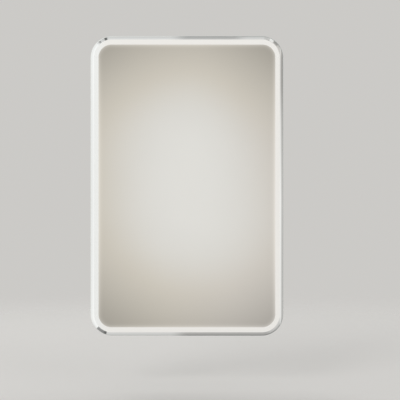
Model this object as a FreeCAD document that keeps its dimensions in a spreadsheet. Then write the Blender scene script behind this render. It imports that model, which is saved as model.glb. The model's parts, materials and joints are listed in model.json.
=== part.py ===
import FreeCAD, Part
import math
import os
import re
import Sketcher
from FreeCAD import Placement, Rotation, Vector

# A frameless lighted bathroom mirror. +X is right and +Z is up as seen from the front, which faces -Y.
# The wall is the plane Y = 0. The origin is the middle of the wall bracket's two fixing holes, on the wall.
# Lengths are in millimetres. A depth is a distance in front of the wall, so it runs along -Y.

# Name, value, meaning
SIZES = (
    # Glass and its coatings
    ("mirror_width", 450, "width of the glass"),
    ("mirror_height", 700, "height of the glass"),
    ("glass_corner", 50, "corner radius of the glass"),
    ("glass_thick", 5, "thickness of the glass"),
    ("bevel_width", 6.5, "width of the polished bevel, seen from the front"),
    ("bevel_depth", 1.8, "how far the bevel falls back at the edge"),
    ("band_width", 13, "width of the etched light band"),
    ("film_thick", 0.2, "thickness of the silvering and of the etched layer"),
    ("film_gap", 0.1, "line between silvering and etched layer"),
    ("tape_thick", 0.8, "thickness of the foam tape and the edge seal"),
    ("tape_margin", 0.5, "how far the foam tape stays inside its flange"),
    # Frame profile, from its outer face inward
    ("frame_inset", 5, "how far the frame's outer face is inside the glass edge"),
    ("wall_gap", 7, "gap between the wall and the back plate"),
    ("frame_depth", 27, "depth of the frame profile"),
    ("frame_wall", 1.5, "wall thickness of the frame profile"),
    ("trough_width", 24, "outer width of the light trough"),
    ("flange_width", 12, "width of the flange that the glass is bonded to"),
    ("channel_depth", 8.5, "from the back plate to the floor of the light trough"),
    ("channel_from", 11, "from the frame's outer face to the middle of the screw channel"),
    ("channel_slot", 3, "width of the screw channel's slot"),
    ("ledge_width", 1.5, "width of the ledges that carry the diffuser"),
    ("ledge_thick", 1.2, "thickness of those ledges"),
    ("tongue_length", 15, "length of a corner's tongue inside the rail"),
    ("tongue_root", 1, "how far a tongue is rooted in its corner"),
    ("tongue_play", 0.1, "clearance on each side of a tongue"),
    ("cut_margin", 1, "how far a cut reaches past what it takes away"),
    # Light
    ("diffuser_thick", 2.5, "thickness of the opal diffuser"),
    ("diffuser_play", 0.3, "clearance round and in front of the diffuser"),
    ("board_width", 10, "width of an LED board"),
    ("board_thick", 1, "thickness of an LED board"),
    ("board_corner", 1, "corner radius of an LED board"),
    ("board_overlap", 15, "how far an LED board runs past the end of its rail"),
    ("led_pitch", 16.7, "spacing of the LEDs"),
    ("led_length", 2.8, "LED, along the board"),
    ("led_width", 3.5, "LED, across the board"),
    ("led_height", 0.8, "height of an LED"),
    ("solder_length", 2.5, "length of a solder joint"),
    ("solder_width", 2, "width of a solder joint"),
    ("solder_height", 1.4, "height of a solder joint"),
    ("solder_margin", 1, "from a solder joint to the end of its board"),
    ("solder_spacing", 4, "spacing of the two solder joints at an end"),
    ("ribbon_width", 6, "width of the two-core ribbon round a corner"),
    ("ribbon_thick", 1.2, "thickness of the ribbon"),
    ("plug_length", 9, "length of the plug block that feeds the left board"),
    ("plug_width", 3, "width of the plug block"),
    ("plug_height", 4, "height of the plug block"),
    # Back plate
    ("plate_thick", 1, "thickness of the back plate"),
    ("plate_play", 0.4, "gap between the back plate and the frame round it"),
    ("bead_inset", 60, "stiffening beads, in from the frame's sides"),
    ("bead_width", 10, "width of a stiffening bead"),
    ("bead_height", 2, "height of a stiffening bead"),
    ("bead_drop", 5, "upper end of the beads below the fixing holes"),
    ("bead_rise", 45, "lower end of the beads above the frame's lower face"),
    ("board_screw_radius", 1.1, "shank radius of an LED board's screw"),
    ("board_screw_length", 3.5, "length of an LED board's screw under its head"),
    ("screw_play", 0.1, "radial clearance of a screw in its hole"),
    ("plate_screw_radius", 1.4, "shank radius of a back plate screw"),
    ("plate_screw_length", 7.5, "length of a back plate screw under its head"),
    ("plate_screw_end", 40, "from a rail's end to its nearest back plate screw"),
    # Access cover, in the middle of the mirror
    ("cover_width", 150, "width of the access cover"),
    ("cover_height", 84, "height of the access cover"),
    ("cover_corner", 9, "corner radius of the access cover"),
    ("cover_rim", 11, "width of the cover's rim outside the opening"),
    ("gasket_thick", 0.8, "thickness of the cover's gasket"),
    ("cover_screw_inset", 5, "from the cover's edge to its screws"),
    ("cover_screw_radius", 1.4, "shank radius of a cover screw"),
    ("cover_screw_length", 6, "length of a cover screw under its head"),
    ("screw_head_radius", 2.8, "head radius of the small screws"),
    ("screw_head_height", 1.8, "head height of the small screws"),
    ("screw_crown_radius", 2, "radius of the flat on top of a screw head"),
    ("inlet_x", -45, "cable inlet, right of the mirror's centre"),
    ("inlet_bore", 4.5, "radius of the grommet's bore"),
    ("inlet_wall", 2, "wall of the grommet in its hole"),
    ("inlet_lip", 2.5, "how far the grommet's lips reach past its hole"),
    ("inlet_lip_thick", 2.4, "thickness of the grommet's lips"),
    # Terminal block, on the access cover
    ("block_x", 18, "terminal block, right of the mirror's centre"),
    ("block_width", 44, "width of the terminal block"),
    ("block_height", 18, "height of the terminal block"),
    ("block_depth", 15, "depth of the terminal block"),
    ("block_corner", 1.5, "corner radius of the terminal block"),
    ("block_poles", 4, "number of poles"),
    ("block_screw_inset", 4, "from the block's end to its screw"),
    ("pole_bore", 2.2, "radius of a clamp hole in the block"),
    ("pole_depth", 5, "depth of a clamp hole"),
    # LED driver
    ("driver_z", 95, "driver, above the mirror's centre"),
    ("driver_length", 150, "length of the driver's case"),
    ("driver_height", 42, "height of the driver's case"),
    ("driver_depth", 22, "depth of the driver's case"),
    ("driver_corner", 3, "corner radius of the driver's case"),
    ("driver_groove", 2, "width of the grooves along the driver's case"),
    ("driver_groove_depth", 1, "depth of those grooves"),
    ("driver_groove_pitch", 7, "spacing of those grooves"),
    ("driver_entry", 10.5, "where leads enter the driver's ends, above and below its middle"),
    ("cap_thick", 4, "thickness of the driver's end caps"),
    ("tab_length", 12, "length of an end cap's screw tab"),
    ("tab_width", 16, "width of an end cap's screw tab"),
    ("tab_thick", 2, "thickness of an end cap's screw tab"),
    # Demister
    ("demister_width", 250, "width of the demister pad"),
    ("demister_height", 350, "height of the demister pad"),
    ("demister_corner", 8, "corner radius of the demister pad"),
    ("demister_thick", 0.6, "thickness of the demister pad"),
    ("demister_boss", 10, "side of the sealed joint where its lead starts"),
    ("demister_boss_corner", 2, "corner radius of that joint"),
    ("demister_boss_height", 1.5, "height of that joint"),
    # Hand-wave switch, in the bottom rail
    ("sensor_width", 20, "width of the switch housing"),
    ("sensor_height", 18, "height of the switch housing"),
    ("sensor_play", 0.5, "gap before and behind the switch housing"),
    ("bezel_grip", 3, "how far the bezel's neck reaches into the housing"),
    ("bezel_radius", 4, "radius of the switch's bezel outside the frame"),
    ("bezel_thick", 1, "thickness of the bezel outside the frame"),
    ("bezel_neck", 3, "radius of the bezel's neck"),
    ("lens_radius", 2.2, "radius of the switch's lens"),
    # Leads
    ("mains_radius", 2.5, "radius of the lead to the driver"),
    ("feed_radius", 1.8, "radius of the lead to the light"),
    ("signal_radius", 1.4, "radius of the lead to the switch"),
    ("earth_radius", 1.2, "radius of the earth lead"),
    ("lead_bend", 12, "bend radius of the leads"),
    ("mains_reach", 30, "how far the lead to the driver swings out past its end"),
    ("feed_reach", 24, "how far the light's lead swings out past the driver's end"),
    ("feed_z", 60, "where the light's lead enters the left rail, above the mirror's centre"),
    ("feed_play", 0.7, "clearance round the light's lead where it enters the rail"),
    ("signal_x", 115, "upright run of the switch lead, left of the mirror's centre"),
    ("signal_rise", 35.5, "level run of the switch lead, above the switch housing"),
    ("demister_reach", 36, "from the terminal block down to the demister's joint"),
    ("earth_x", 92, "earth post, right of the mirror's centre"),
    ("earth_flats", 8, "earth post, across its flats"),
    ("earth_height", 9, "height of the earth post"),
    ("clip_spacing", 110, "spacing of the cable clips"),
    ("clip_top", 20, "uppermost cable clip, above the mirror's centre"),
    ("clip_foot", 12, "width of a cable clip's foot"),
    ("clip_wall", 1.2, "wall of a cable clip"),
    ("clip_width", 8, "width of a cable clip"),
    ("clip_play", 0.1, "clearance of a lead in its clip"),
    # Hanging rails
    ("fixing_below_top", 120, "fixing holes below the top of the glass"),
    ("rail_thick", 1.5, "thickness of both hanging rails"),
    ("rail_bend", 0.8, "inner bend radius of both hanging rails"),
    ("bracket_length", 260, "length of the wall bracket"),
    ("bracket_below", 12, "wall bracket's flange below the fixing holes"),
    ("bracket_above", 8, "wall bracket's flange above the fixing holes"),
    ("lip_height", 12, "height of the bracket's lip above its web"),
    ("hook_play", 1, "clearance on each side of the hook"),
    ("hook_depth", 10, "how far the hook reaches down behind the lip"),
    ("hanger_length", 300, "length of the hanger rail"),
    ("hanger_flange", 20, "height of the hanger rail's flange"),
    ("fixing_spacing", 200, "spacing of the round fixing holes"),
    ("fixing_radius", 2.75, "radius of the round holes, half width of the slots"),
    ("slot_spacing", 120, "spacing of the slots"),
    ("slot_length", 20, "length of a slot, end to end"),
    ("rivet_radius", 2, "shank radius of a rivet"),
    ("rivet_head_radius", 3.6, "head radius of a rivet"),
    ("rivet_head_height", 1.2, "head height of a rivet"),
    ("rivet_crown_radius", 2.4, "radius of the flat on top of a rivet's head"),
    ("rivet_tail_radius", 3, "radius of a rivet's upset tail"),
    ("rivet_spacing", 60, "spacing of the hanger rail's rivets"),
    # Wall bumpers
    ("bumper_radius", 8, "radius of a wall bumper at the back plate"),
    ("bumper_taper", 1.5, "how much narrower it is at the wall"),
    ("bumper_stem", 2.5, "radius of its stem"),
    ("bumper_barb", 3.6, "radius of its barb"),
    ("bumper_inset", 42, "bumpers, in from the frame's sides and bottom"),
)
NAMES = {name for name, value, meaning in SIZES}
# Least volume that a pocket takes away, and how near an edge's middle is to the place that names it
LEAST_CUT = 1e-3
NEAR = 1e-4

# Depths, from the wall to the front
PLATE_FRONT = "(wall_gap + plate_thick)"
COVER_FRONT = "(wall_gap - gasket_thick)"
COVER_BACK = f"({COVER_FRONT} - plate_thick)"
FLOOR_BACK = f"({PLATE_FRONT} + channel_depth)"
FLOOR_FRONT = f"({FLOOR_BACK} + frame_wall)"
FRAME_FRONT = "(wall_gap + frame_depth)"
DIFFUSER_FRONT = f"({FRAME_FRONT} - diffuser_play)"
LEDGE_FRONT = f"({DIFFUSER_FRONT} - diffuser_thick)"
BOARD_FRONT = f"({FLOOR_FRONT} + board_thick)"
FILM_BACK = f"({FRAME_FRONT} + tape_thick)"
GLASS_BACK = f"({FILM_BACK} + film_thick)"
DRIVER_FRONT = f"({PLATE_FRONT} + driver_depth)"
DEMISTER_BACK = f"({FILM_BACK} - demister_thick)"
DEMISTER_BOSS = f"({DEMISTER_BACK} - demister_boss_height)"
SIGNAL_DEPTH = f"({FLOOR_BACK} - channel_depth / 2)"
MAINS_DEPTH = f"({COVER_FRONT} + block_depth / 2)"
FEED_DEPTH = f"({BOARD_FRONT} + plug_height / 2)"

# The frame seen from the front, about the mirror's centre
HALF_FRAME_WIDTH = "(mirror_width / 2 - frame_inset)"
HALF_FRAME_HEIGHT = "(mirror_height / 2 - frame_inset)"
FRAME_CORNER = "(glass_corner - frame_inset)"
CORNER_X = "(mirror_width / 2 - glass_corner)"
CORNER_Z = "(mirror_height / 2 - glass_corner)"
RAIL_LENGTH = {"top": f"(2 * {CORNER_X})", "side": f"(2 * {CORNER_Z})"}
RIB_OUTER = "(channel_from - channel_slot / 2 - frame_wall)"
RIB_INNER = "(channel_from + channel_slot / 2 + frame_wall)"
FIXING_HEIGHT = "(mirror_height / 2 - fixing_below_top)"
MIRROR_CENTRE = f"(-{FIXING_HEIGHT})"
# A screw in the middle of a corner, from the middle of the corner's arc
CORNER_SCREW = f"(({FRAME_CORNER} - channel_from) * sqrt(2) / 2)"

# Inside the back, about the mirror's centre
OPENING = ("cover_width - 2 * cover_rim", "cover_height - 2 * cover_rim", "cover_corner")
COVER_SCREWS = [
    (f"{across} * (cover_width / 2 - cover_screw_inset)", f"{up} * (cover_height / 2 - cover_screw_inset)")
    for across in (-1, 1) for up in (-1, 1)
]
BLOCK_SCREWS = [(f"block_x + {side} * (block_width / 2 - block_screw_inset)", "0") for side in (-1, 1)]
DRIVER_END = "(driver_length / 2 + cap_thick)"
DRIVER_SCREWS = [(f"{side} * ({DRIVER_END} + tab_length / 2)", "driver_z") for side in (-1, 1)]
CHANNEL_X = f"({HALF_FRAME_WIDTH} - channel_from)"
CHANNEL_Z = f"({HALF_FRAME_HEIGHT} - channel_from)"
PLATE_SCREWS = [
    place
    for x in (-1, 1) for z in (-1, 1)
    for place in (
        (f"{x} * ({CORNER_X} - plate_screw_end)", f"{z} * {CHANNEL_Z}"),
        (f"{x} * {CHANNEL_X}", f"{z} * ({CORNER_Z} - plate_screw_end)"),
        (f"{x} * ({CORNER_X} + {CORNER_SCREW})", f"{z} * ({CORNER_Z} + {CORNER_SCREW})"),
    )
] + [(f"{x} * {CHANNEL_X}", "0") for x in (-1, 1)]
BUMPERS = [
    (f"{x} * ({HALF_FRAME_WIDTH} - bumper_inset)", f"-({HALF_FRAME_HEIGHT} - bumper_inset)") for x in (-1, 1)
]
POLE_PITCH = "(block_width / (block_poles + 1))"
RIGHT_POLES, LEFT_POLES = f"(block_x + {POLE_PITCH})", f"(block_x - {POLE_PITCH})"
EARTH_POST = ("earth_x", "-(cover_height / 2)")
DEMISTER_LEAD_Z = "-(block_height / 2 + demister_reach)"
SENSOR_TOP = f"-({HALF_FRAME_HEIGHT} - frame_wall - sensor_height)"

# The hanging rails, about the fixing holes
WEB_TOP = "(bracket_above + rail_thick)"
LIP_TOP = f"({WEB_TOP} + lip_height)"
LIP_BACK = "(2 * hook_play + rail_thick)"
RIVET_Z = f"({LIP_TOP} + rail_thick + hanger_flange / 2)"
RIVETS = (-2, -1, 0, 1, 2)

document = FreeCAD.newDocument("LightedMirror")
sheet = document.addObject("Spreadsheet::Sheet", "Sizes")
for row, (name, value, meaning) in enumerate(SIZES, start=1):
    sheet.set(f"A{row}", meaning)
    sheet.set(f"B{row}", str(value))
    sheet.setAlias(f"B{row}", name)
document.recompute()


# ---- Binding shapes to the named sizes ----

def formula(text):
    """Turns the named sizes in a formula into references to the sheet's cells."""
    def reference(word):
        return f"Sizes.{word.group()}" if word.group() in NAMES else word.group()
    return re.sub(r"[a-z]\w+", reference, text)


def amount(text):
    """The present value of a formula."""
    return float(sheet.evalExpression(formula(text)))


def new_body(label, x="0", z="0", turn=0):
    """A body that stands at x, z, turned about the Y axis."""
    body = document.addObject("PartDesign::Body", label)
    body.Label = label
    body.Placement = Placement(Vector(), Rotation(Vector(0, 1, 0), turn))
    body.setExpression("Placement.Base.x", formula(x))
    body.setExpression("Placement.Base.z", formula(z))
    return body


def origin_feature(body, role):
    return next(feature for feature in body.Origin.OriginFeatures if feature.Role == role)


def sketch_on(body, plane, offset="0"):
    """A sketch on one of the body's own planes, moved along the plane's normal."""
    sketch = body.newObject("Sketcher::SketchObject", "Outline")
    sketch.AttachmentSupport = [(origin_feature(body, plane), "")]
    sketch.MapMode = "FlatFace"
    sketch.setExpression("AttachmentOffset.Base.z", formula(offset))
    return sketch


def facing(body, depth):
    """A sketch parallel to the wall at a depth: its x is X, its y is Z, and pads grow forward from it."""
    return sketch_on(body, "XZ_Plane", depth)


def constrain(sketch, rules):
    """Adds constraints together. A rule that ends in a formula is a driving dimension bound to it."""
    made = []
    for kind, *where in rules:
        if isinstance(where[-1], str):
            where[-1] = amount(where[-1])
        made.append(Sketcher.Constraint(kind, *where))
    indices = sketch.addConstraint(made)
    for index, rule in zip(indices, rules):
        if isinstance(rule[-1], str):
            sketch.setExpression(f"Constraints[{index}]", formula(rule[-1]))


def at(edge, end, x, y):
    """Rules that hold a point of an edge at x, y."""
    return [("DistanceX", -1, 1, edge, end, x), ("DistanceY", -1, 1, edge, end, y)]


def polygon(sketch, corners):
    """A closed outline of straight edges through corners, each a pair of formulas."""
    points = [Vector(amount(x), amount(y), 0) for x, y in corners]
    edges = sketch.addGeometry([Part.LineSegment(points[i - 1], points[i]) for i in range(len(points))])
    rules = [("Coincident", edges[i - 1], 2, edges[i], 1) for i in range(len(edges))]
    for edge, (x, y) in zip(edges, corners):
        rules += at(edge, 2, x, y)
    constrain(sketch, rules)


def rectangle(sketch, left, right, low, high):
    polygon(sketch, [(left, low), (right, low), (right, high), (left, high)])


def rounded_rectangle(sketch, width, height, radius, x="0", y="0"):
    """A rectangle with four equal round corners about the point x, y."""
    left, right = f"{x} - ({width}) / 2", f"{x} + ({width}) / 2"
    low, high = f"{y} - ({height}) / 2", f"{y} + ({height}) / 2"
    r = amount(radius)
    x0, x1, y0, y1 = amount(left), amount(right), amount(low), amount(high)
    lines = (
        ((x0 + r, y0), (x1 - r, y0)),
        ((x1, y0 + r), (x1, y1 - r)),
        ((x1 - r, y1), (x0 + r, y1)),
        ((x0, y1 - r), (x0, y0 + r)),
    )
    centres = ((x1 - r, y0 + r), (x1 - r, y1 - r), (x0 + r, y1 - r), (x0 + r, y0 + r))
    edges = sketch.addGeometry([Part.LineSegment(Vector(*start, 0), Vector(*end, 0)) for start, end in lines])
    circles = [Part.Circle(Vector(*centre, 0), Vector(0, 0, 1), r) for centre in centres]
    arcs = sketch.addGeometry([
        Part.ArcOfCircle(whole, (i - 1) * math.pi / 2, i * math.pi / 2) for i, whole in enumerate(circles)
    ])
    rules = [
        ("Radius", arcs[0], radius),
        ("DistanceY", -1, 1, edges[0], 1, low),
        ("DistanceX", -1, 1, edges[1], 1, right),
        ("DistanceY", -1, 1, edges[2], 1, high),
        ("DistanceX", -1, 1, edges[3], 1, left),
    ]
    for i in range(4):
        rules.append(("Tangent", edges[i], 2, arcs[i], 1))
        rules.append(("Tangent", arcs[i], 2, edges[(i + 1) % 4], 1))
        rules.append(("Vertical" if i % 2 else "Horizontal", edges[i]))
    rules += [("Equal", arcs[0], arc) for arc in arcs[1:]]
    constrain(sketch, rules)


def inset_outline(sketch, inset):
    """The glass's outline, brought in by an inset."""
    width, height = f"mirror_width - 2 * ({inset})", f"mirror_height - 2 * ({inset})"
    rounded_rectangle(sketch, width, height, f"glass_corner - ({inset})")


def circle(sketch, x, y, radius):
    edge = sketch.addGeometry(Part.Circle(Vector(amount(x), amount(y), 0), Vector(0, 0, 1), amount(radius)))
    constrain(sketch, [*at(edge, 3, x, y), ("Radius", edge, radius)])


def slot(sketch, x, y, length, radius, upright=False):
    """A slot with round ends about the point x, y."""
    reach = f"(({length}) / 2 - ({radius}))"
    if upright:
        ends = [(x, f"{y} - {reach}"), (x, f"{y} + {reach}")]
    else:
        ends = [(f"{x} - {reach}", y), (f"{x} + {reach}", y)]
    r = amount(radius)
    start, end = (Vector(amount(a), amount(b), 0) for a, b in ends)
    turn = math.pi / 2 if upright else 0
    side = Vector(math.sin(turn), -math.cos(turn), 0) * r
    near = Part.ArcOfCircle(Part.Circle(start, Vector(0, 0, 1), r), turn + math.pi / 2, turn + 3 * math.pi / 2)
    far = Part.ArcOfCircle(Part.Circle(end, Vector(0, 0, 1), r), turn - math.pi / 2, turn + math.pi / 2)
    edges = sketch.addGeometry([
        near, Part.LineSegment(start + side, end + side), far, Part.LineSegment(end - side, start - side),
    ])
    rules = [("Tangent", edges[i], 2, edges[(i + 1) % 4], 1) for i in range(4)]
    rules += [("Equal", edges[0], edges[2]), ("Radius", edges[0], radius)]
    constrain(sketch, rules + at(edges[0], 3, *ends[0]) + at(edges[2], 3, *ends[1]))


def pad(body, sketch, length, both_ways=False):
    feature = body.newObject("PartDesign::Pad", "Pad")
    feature.Profile = sketch
    feature.SideType = "Symmetric" if both_ways else "One side"
    feature.setExpression("Length", formula(length))
    return feature


def pocket(body, sketch, length, both_ways=False):
    """Cuts backward from a sketch: towards the wall from one that faces forward."""
    feature = body.newObject("PartDesign::Pocket", "Pocket")
    feature.Profile = sketch
    feature.SideType = "Symmetric" if both_ways else "One side"
    feature.setExpression("Length", formula(length))
    return feature


def revolve(body, sketch, axis, angle=360):
    feature = body.newObject("PartDesign::Revolution", "Revolution")
    feature.Profile = sketch
    feature.ReferenceAxis = (origin_feature(body, axis), [""])
    feature.Angle = angle
    return feature


def repeat_along_x(body, feature, count, length):
    """Repeats a feature along the body's X axis over a length."""
    pattern = body.newObject("PartDesign::LinearPattern", "Pattern")
    pattern.Originals = [feature]
    pattern.Direction = (origin_feature(body, "X_Axis"), [""])
    pattern.setExpression("Length", formula(length))
    pattern.setExpression("Occurrences", formula(count))
    body.Tip = pattern
    return pattern


def soften(body, feature, kind, size, wanted):
    """A fillet or a chamfer on the edges of a feature whose middle point meets a test."""
    document.recompute()
    names = [f"Edge{i}" for i, edge in enumerate(feature.Shape.Edges, start=1) if wanted(edge.CenterOfMass)]
    softened = body.newObject(f"PartDesign::{kind}", kind)
    softened.Base = (feature, names)
    softened.setExpression({"Fillet": "Radius", "Chamfer": "Size"}[kind], formula(size))
    return softened


def turned(body, profile):
    """A turned piece about the body's own Y axis: the profile's pairs are radius and depth."""
    sketch = sketch_on(body, "XY_Plane")
    polygon(sketch, [(radius, f"-({depth})") for radius, depth in profile])
    return revolve(body, sketch, "Y_Axis")


def group(label, form, places):
    """Copies of one form at several places, each x, z and a turn about Y, as one sub-part."""
    links = []
    for x, z, turn in places:
        link = document.addObject("App::Link", f"{label}_place")
        link.LinkedObject = form
        link.Placement = Placement(Vector(), Rotation(Vector(0, 1, 0), turn))
        link.setExpression("Placement.Base.x", formula(x))
        link.setExpression("Placement.Base.z", formula(z))
        links.append(link)
    compound = document.addObject("Part::Compound", label)
    compound.Label = label
    compound.Links = links
    return compound


def path(sketch, route, bend):
    """Level and upright runs through the route's points, joined by tangent arcs."""
    points = [Vector(amount(x), amount(y), 0) for x, y in route]
    r = amount(bend)
    ways = [(end - start).normalize() for start, end in zip(points, points[1:])]
    lines = []
    for i, way in enumerate(ways):
        start = points[i] + way * (r if i else 0)
        end = points[i + 1] - way * (r if i + 1 < len(ways) else 0)
        lines.append(Part.LineSegment(start, end))
    edges = sketch.addGeometry(lines)
    upright = [abs(way.x) < 0.5 for way in ways]
    rules = [("Vertical" if stands else "Horizontal", edge) for edge, stands in zip(edges, upright)]
    for i in range(1, len(ways)):
        before, after = ways[i - 1], ways[i]
        centre = points[i] - before * r + after * r
        middle = centre + (before - after) * r * math.sqrt(0.5)
        arc = sketch.addGeometry(Part.Arc(points[i] - before * r, middle, points[i] + after * r))
        first, last = (1, 2) if before.cross(after).z > 0 else (2, 1)
        rules.append(("Tangent", edges[i - 1], 2, arc, first))
        rules.append(("Tangent", arc, last, edges[i], 1))
        rules.append(("Radius", arc, bend))
    for i in range(1, len(ways) - 1):
        x_rule, y_rule = at(edges[i], 1, *route[i])
        rules.append(x_rule if upright[i] else y_rule)
    constrain(sketch, rules + at(edges[0], 1, *route[0]) + at(edges[-1], 2, *route[-1]))


def sweep(body, section, spine):
    pipe = body.newObject("PartDesign::AdditivePipe", "Sweep")
    pipe.Profile = section
    pipe.Spine = (spine, [""])
    return pipe


def round_lead(body, plane, offset, radius, route, bend):
    """A round lead along a route in the XZ or YZ plane. In the YZ plane, a point's first figure is -depth."""
    spine = sketch_on(body, plane, offset)
    path(spine, route, bend)
    (x, y), (next_x, next_y) = route[:2]
    section_plane, section_at = ("XY_Plane", y) if amount(x) == amount(next_x) else ("YZ_Plane", x)
    section = sketch_on(body, section_plane, section_at)
    if section_plane == "YZ_Plane":
        circle(section, f"-({offset})", y, radius)
    elif plane == "XZ_Plane":
        circle(section, x, f"-({offset})", radius)
    else:
        circle(section, offset, x, radius)
    return sweep(body, section, spine)


def screw(label, seat, length, radius, faces_wall=True):
    """A pan-head screw. Its head seats at a depth and faces the wall or the front."""
    body = new_body(label)
    out, inward = ("-", "+") if faces_wall else ("+", "-")
    crown = f"({seat} {out} screw_head_height)"
    tip = f"({seat} {inward} ({length}))"
    turned(body, [
        ("0", tip),
        (radius, tip),
        (radius, seat),
        ("screw_head_radius", seat),
        ("screw_crown_radius", crown),
        ("0", crown),
    ])
    return body


# ---- Glass and its coatings ----

def mirror_glass():
    body = new_body("mirror_glass", z=MIRROR_CENTRE)
    outline = facing(body, GLASS_BACK)
    inset_outline(outline, "0")
    blank = pad(body, outline, "glass_thick")
    document.recompute()
    front = amount(f"-({GLASS_BACK} + glass_thick)")
    sides = enumerate(blank.Shape.Faces, start=1)
    faces = [f"Face{i}" for i, side in sides if abs(side.BoundBox.YMax - front) < NEAR]
    bevel = body.newObject("PartDesign::Chamfer", "Bevel")
    bevel.Base = (blank, faces)
    bevel.ChamferType = "Two distances"
    bevel.setExpression("Size", formula("bevel_depth"))
    bevel.setExpression("Size2", formula("bevel_width"))
    return body


def silver_coating():
    body = new_body("silver_coating", z=MIRROR_CENTRE)
    film = facing(body, FILM_BACK)
    for inset in ("0", "bevel_width - film_gap", "bevel_width + band_width + film_gap"):
        inset_outline(film, inset)
    pad(body, film, "film_thick")
    return body


def ring(label, depth, thick, outer, inner):
    """A flat ring that follows the glass's outline between two insets."""
    body = new_body(label, z=MIRROR_CENTRE)
    outline = facing(body, depth)
    inset_outline(outline, outer)
    inset_outline(outline, inner)
    pad(body, outline, thick)
    return body


def demister_pad():
    body = new_body("demister_pad", z=MIRROR_CENTRE)
    outline = facing(body, DEMISTER_BACK)
    rounded_rectangle(outline, "demister_width", "demister_height", "demister_corner")
    pad(body, outline, "demister_thick")
    joint = facing(body, DEMISTER_BOSS)
    side, corner = "demister_boss", "demister_boss_corner"
    rounded_rectangle(joint, side, side, corner, LEFT_POLES, DEMISTER_LEAD_Z)
    pad(body, joint, "demister_boss_height")
    return body


# ---- Frame ----

def frame_section(open_channel):
    """The frame's profile as pairs of inset from the outer face, and depth."""
    wall_inside = "frame_wall"
    ledge_back = f"({LEDGE_FRONT} - ledge_thick)"
    trough_inside = "(trough_width - frame_wall)"
    channel = [
        ("channel_from + channel_slot / 2", PLATE_FRONT),
        ("channel_from + channel_slot / 2", FLOOR_BACK),
        ("channel_from - channel_slot / 2", FLOOR_BACK),
        ("channel_from - channel_slot / 2", PLATE_FRONT),
    ]
    return [
        ("0", "wall_gap"),
        ("0", FRAME_FRONT),
        (wall_inside, FRAME_FRONT),
        (wall_inside, LEDGE_FRONT),
        ("(frame_wall + ledge_width)", LEDGE_FRONT),
        ("(frame_wall + ledge_width)", ledge_back),
        (wall_inside, ledge_back),
        (wall_inside, FLOOR_FRONT),
        (trough_inside, FLOOR_FRONT),
        (trough_inside, ledge_back),
        ("(trough_width - frame_wall - ledge_width)", ledge_back),
        ("(trough_width - frame_wall - ledge_width)", LEDGE_FRONT),
        (trough_inside, LEDGE_FRONT),
        (trough_inside, FRAME_FRONT),
        ("(trough_width + flange_width)", FRAME_FRONT),
        ("(trough_width + flange_width)", f"({FRAME_FRONT} - frame_wall)"),
        ("trough_width", f"({FRAME_FRONT} - frame_wall)"),
        ("trough_width", FLOOR_BACK),
        (RIB_INNER, FLOOR_BACK),
        (RIB_INNER, PLATE_FRONT),
        *(channel if open_channel else []),
        (RIB_OUTER, PLATE_FRONT),
        (RIB_OUTER, FLOOR_BACK),
        (wall_inside, FLOOR_BACK),
        (wall_inside, "wall_gap"),
    ]


# Each side of the frame: where its outer face is, and its turn about Y from the top.
SIDES = {
    "top": ("0", f"{MIRROR_CENTRE} + {HALF_FRAME_HEIGHT}", 0),
    "right": (HALF_FRAME_WIDTH, MIRROR_CENTRE, 90),
    "bottom": ("0", f"{MIRROR_CENTRE} - {HALF_FRAME_HEIGHT}", 180),
    "left": (f"-{HALF_FRAME_WIDTH}", MIRROR_CENTRE, -90),
}
# Each corner: the middle of its arc, and its turn about Y from the top right.
CORNERS = {
    "top_right": (CORNER_X, f"{MIRROR_CENTRE} + {CORNER_Z}", 0),
    "bottom_right": (CORNER_X, f"{MIRROR_CENTRE} - {CORNER_Z}", 90),
    "bottom_left": (f"-{CORNER_X}", f"{MIRROR_CENTRE} - {CORNER_Z}", 180),
    "top_left": (f"-{CORNER_X}", f"{MIRROR_CENTRE} + {CORNER_Z}", -90),
}


def rail_length(side):
    return RAIL_LENGTH["side" if side in ("left", "right") else "top"]


def board_length(side):
    return f"({rail_length(side)} + 2 * board_overlap)"


def led_count(side):
    """An even number of LEDs, so that a whole number of pitches from the board's middle is between two."""
    return f"(2 * floor({board_length(side)} / (2 * led_pitch)))"


def board_screws(side):
    """Places of a board's two screws along its rail, each midway between two LEDs."""
    along = f"floor({led_count(side)} / 3) * led_pitch"
    return [along, f"-{along}"]


def frame_rail(side):
    """A length of profile, drawn along X with its outer face at z = 0."""
    body = new_body(f"frame_rail_{side}", *SIDES[side])
    section = sketch_on(body, "YZ_Plane")
    polygon(section, [(f"-({depth})", f"-({inset})") for inset, depth in frame_section(open_channel=True)])
    pad(body, section, rail_length(side), both_ways=True)
    holes = facing(body, FLOOR_FRONT)
    for x in board_screws(side):
        circle(holes, x, "-channel_from", "board_screw_radius + screw_play")
    pocket(body, holes, "frame_wall")
    if side == "bottom":
        cut_for_sensor(body)
    if side == "left":
        cut_for_feed(body)
    return body


def cut_for_sensor(body):
    """Takes the screw channel away over the switch housing and bores the outer wall for its bezel."""
    clearing = facing(body, FLOOR_BACK)
    half = "(sensor_width / 2 + cut_margin)"
    rectangle(clearing, f"-{half}", half, f"-({RIB_INNER} + cut_margin)", f"-({RIB_OUTER} - cut_margin)")
    pocket(body, clearing, "channel_depth")
    bore = sketch_on(body, "XY_Plane")
    circle(bore, "0", f"-{SIGNAL_DEPTH}", "bezel_neck + screw_play")
    pocket(body, bore, "frame_wall")


def cut_for_feed(body):
    """Bores the inner wall of the trough for the light's lead."""
    bore = sketch_on(body, "XY_Plane", "-(trough_width - frame_wall - cut_margin)")
    circle(bore, "feed_z", f"-{FEED_DEPTH}", "feed_radius + feed_play")
    pocket(body, bore, "frame_wall + 2 * cut_margin")


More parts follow.
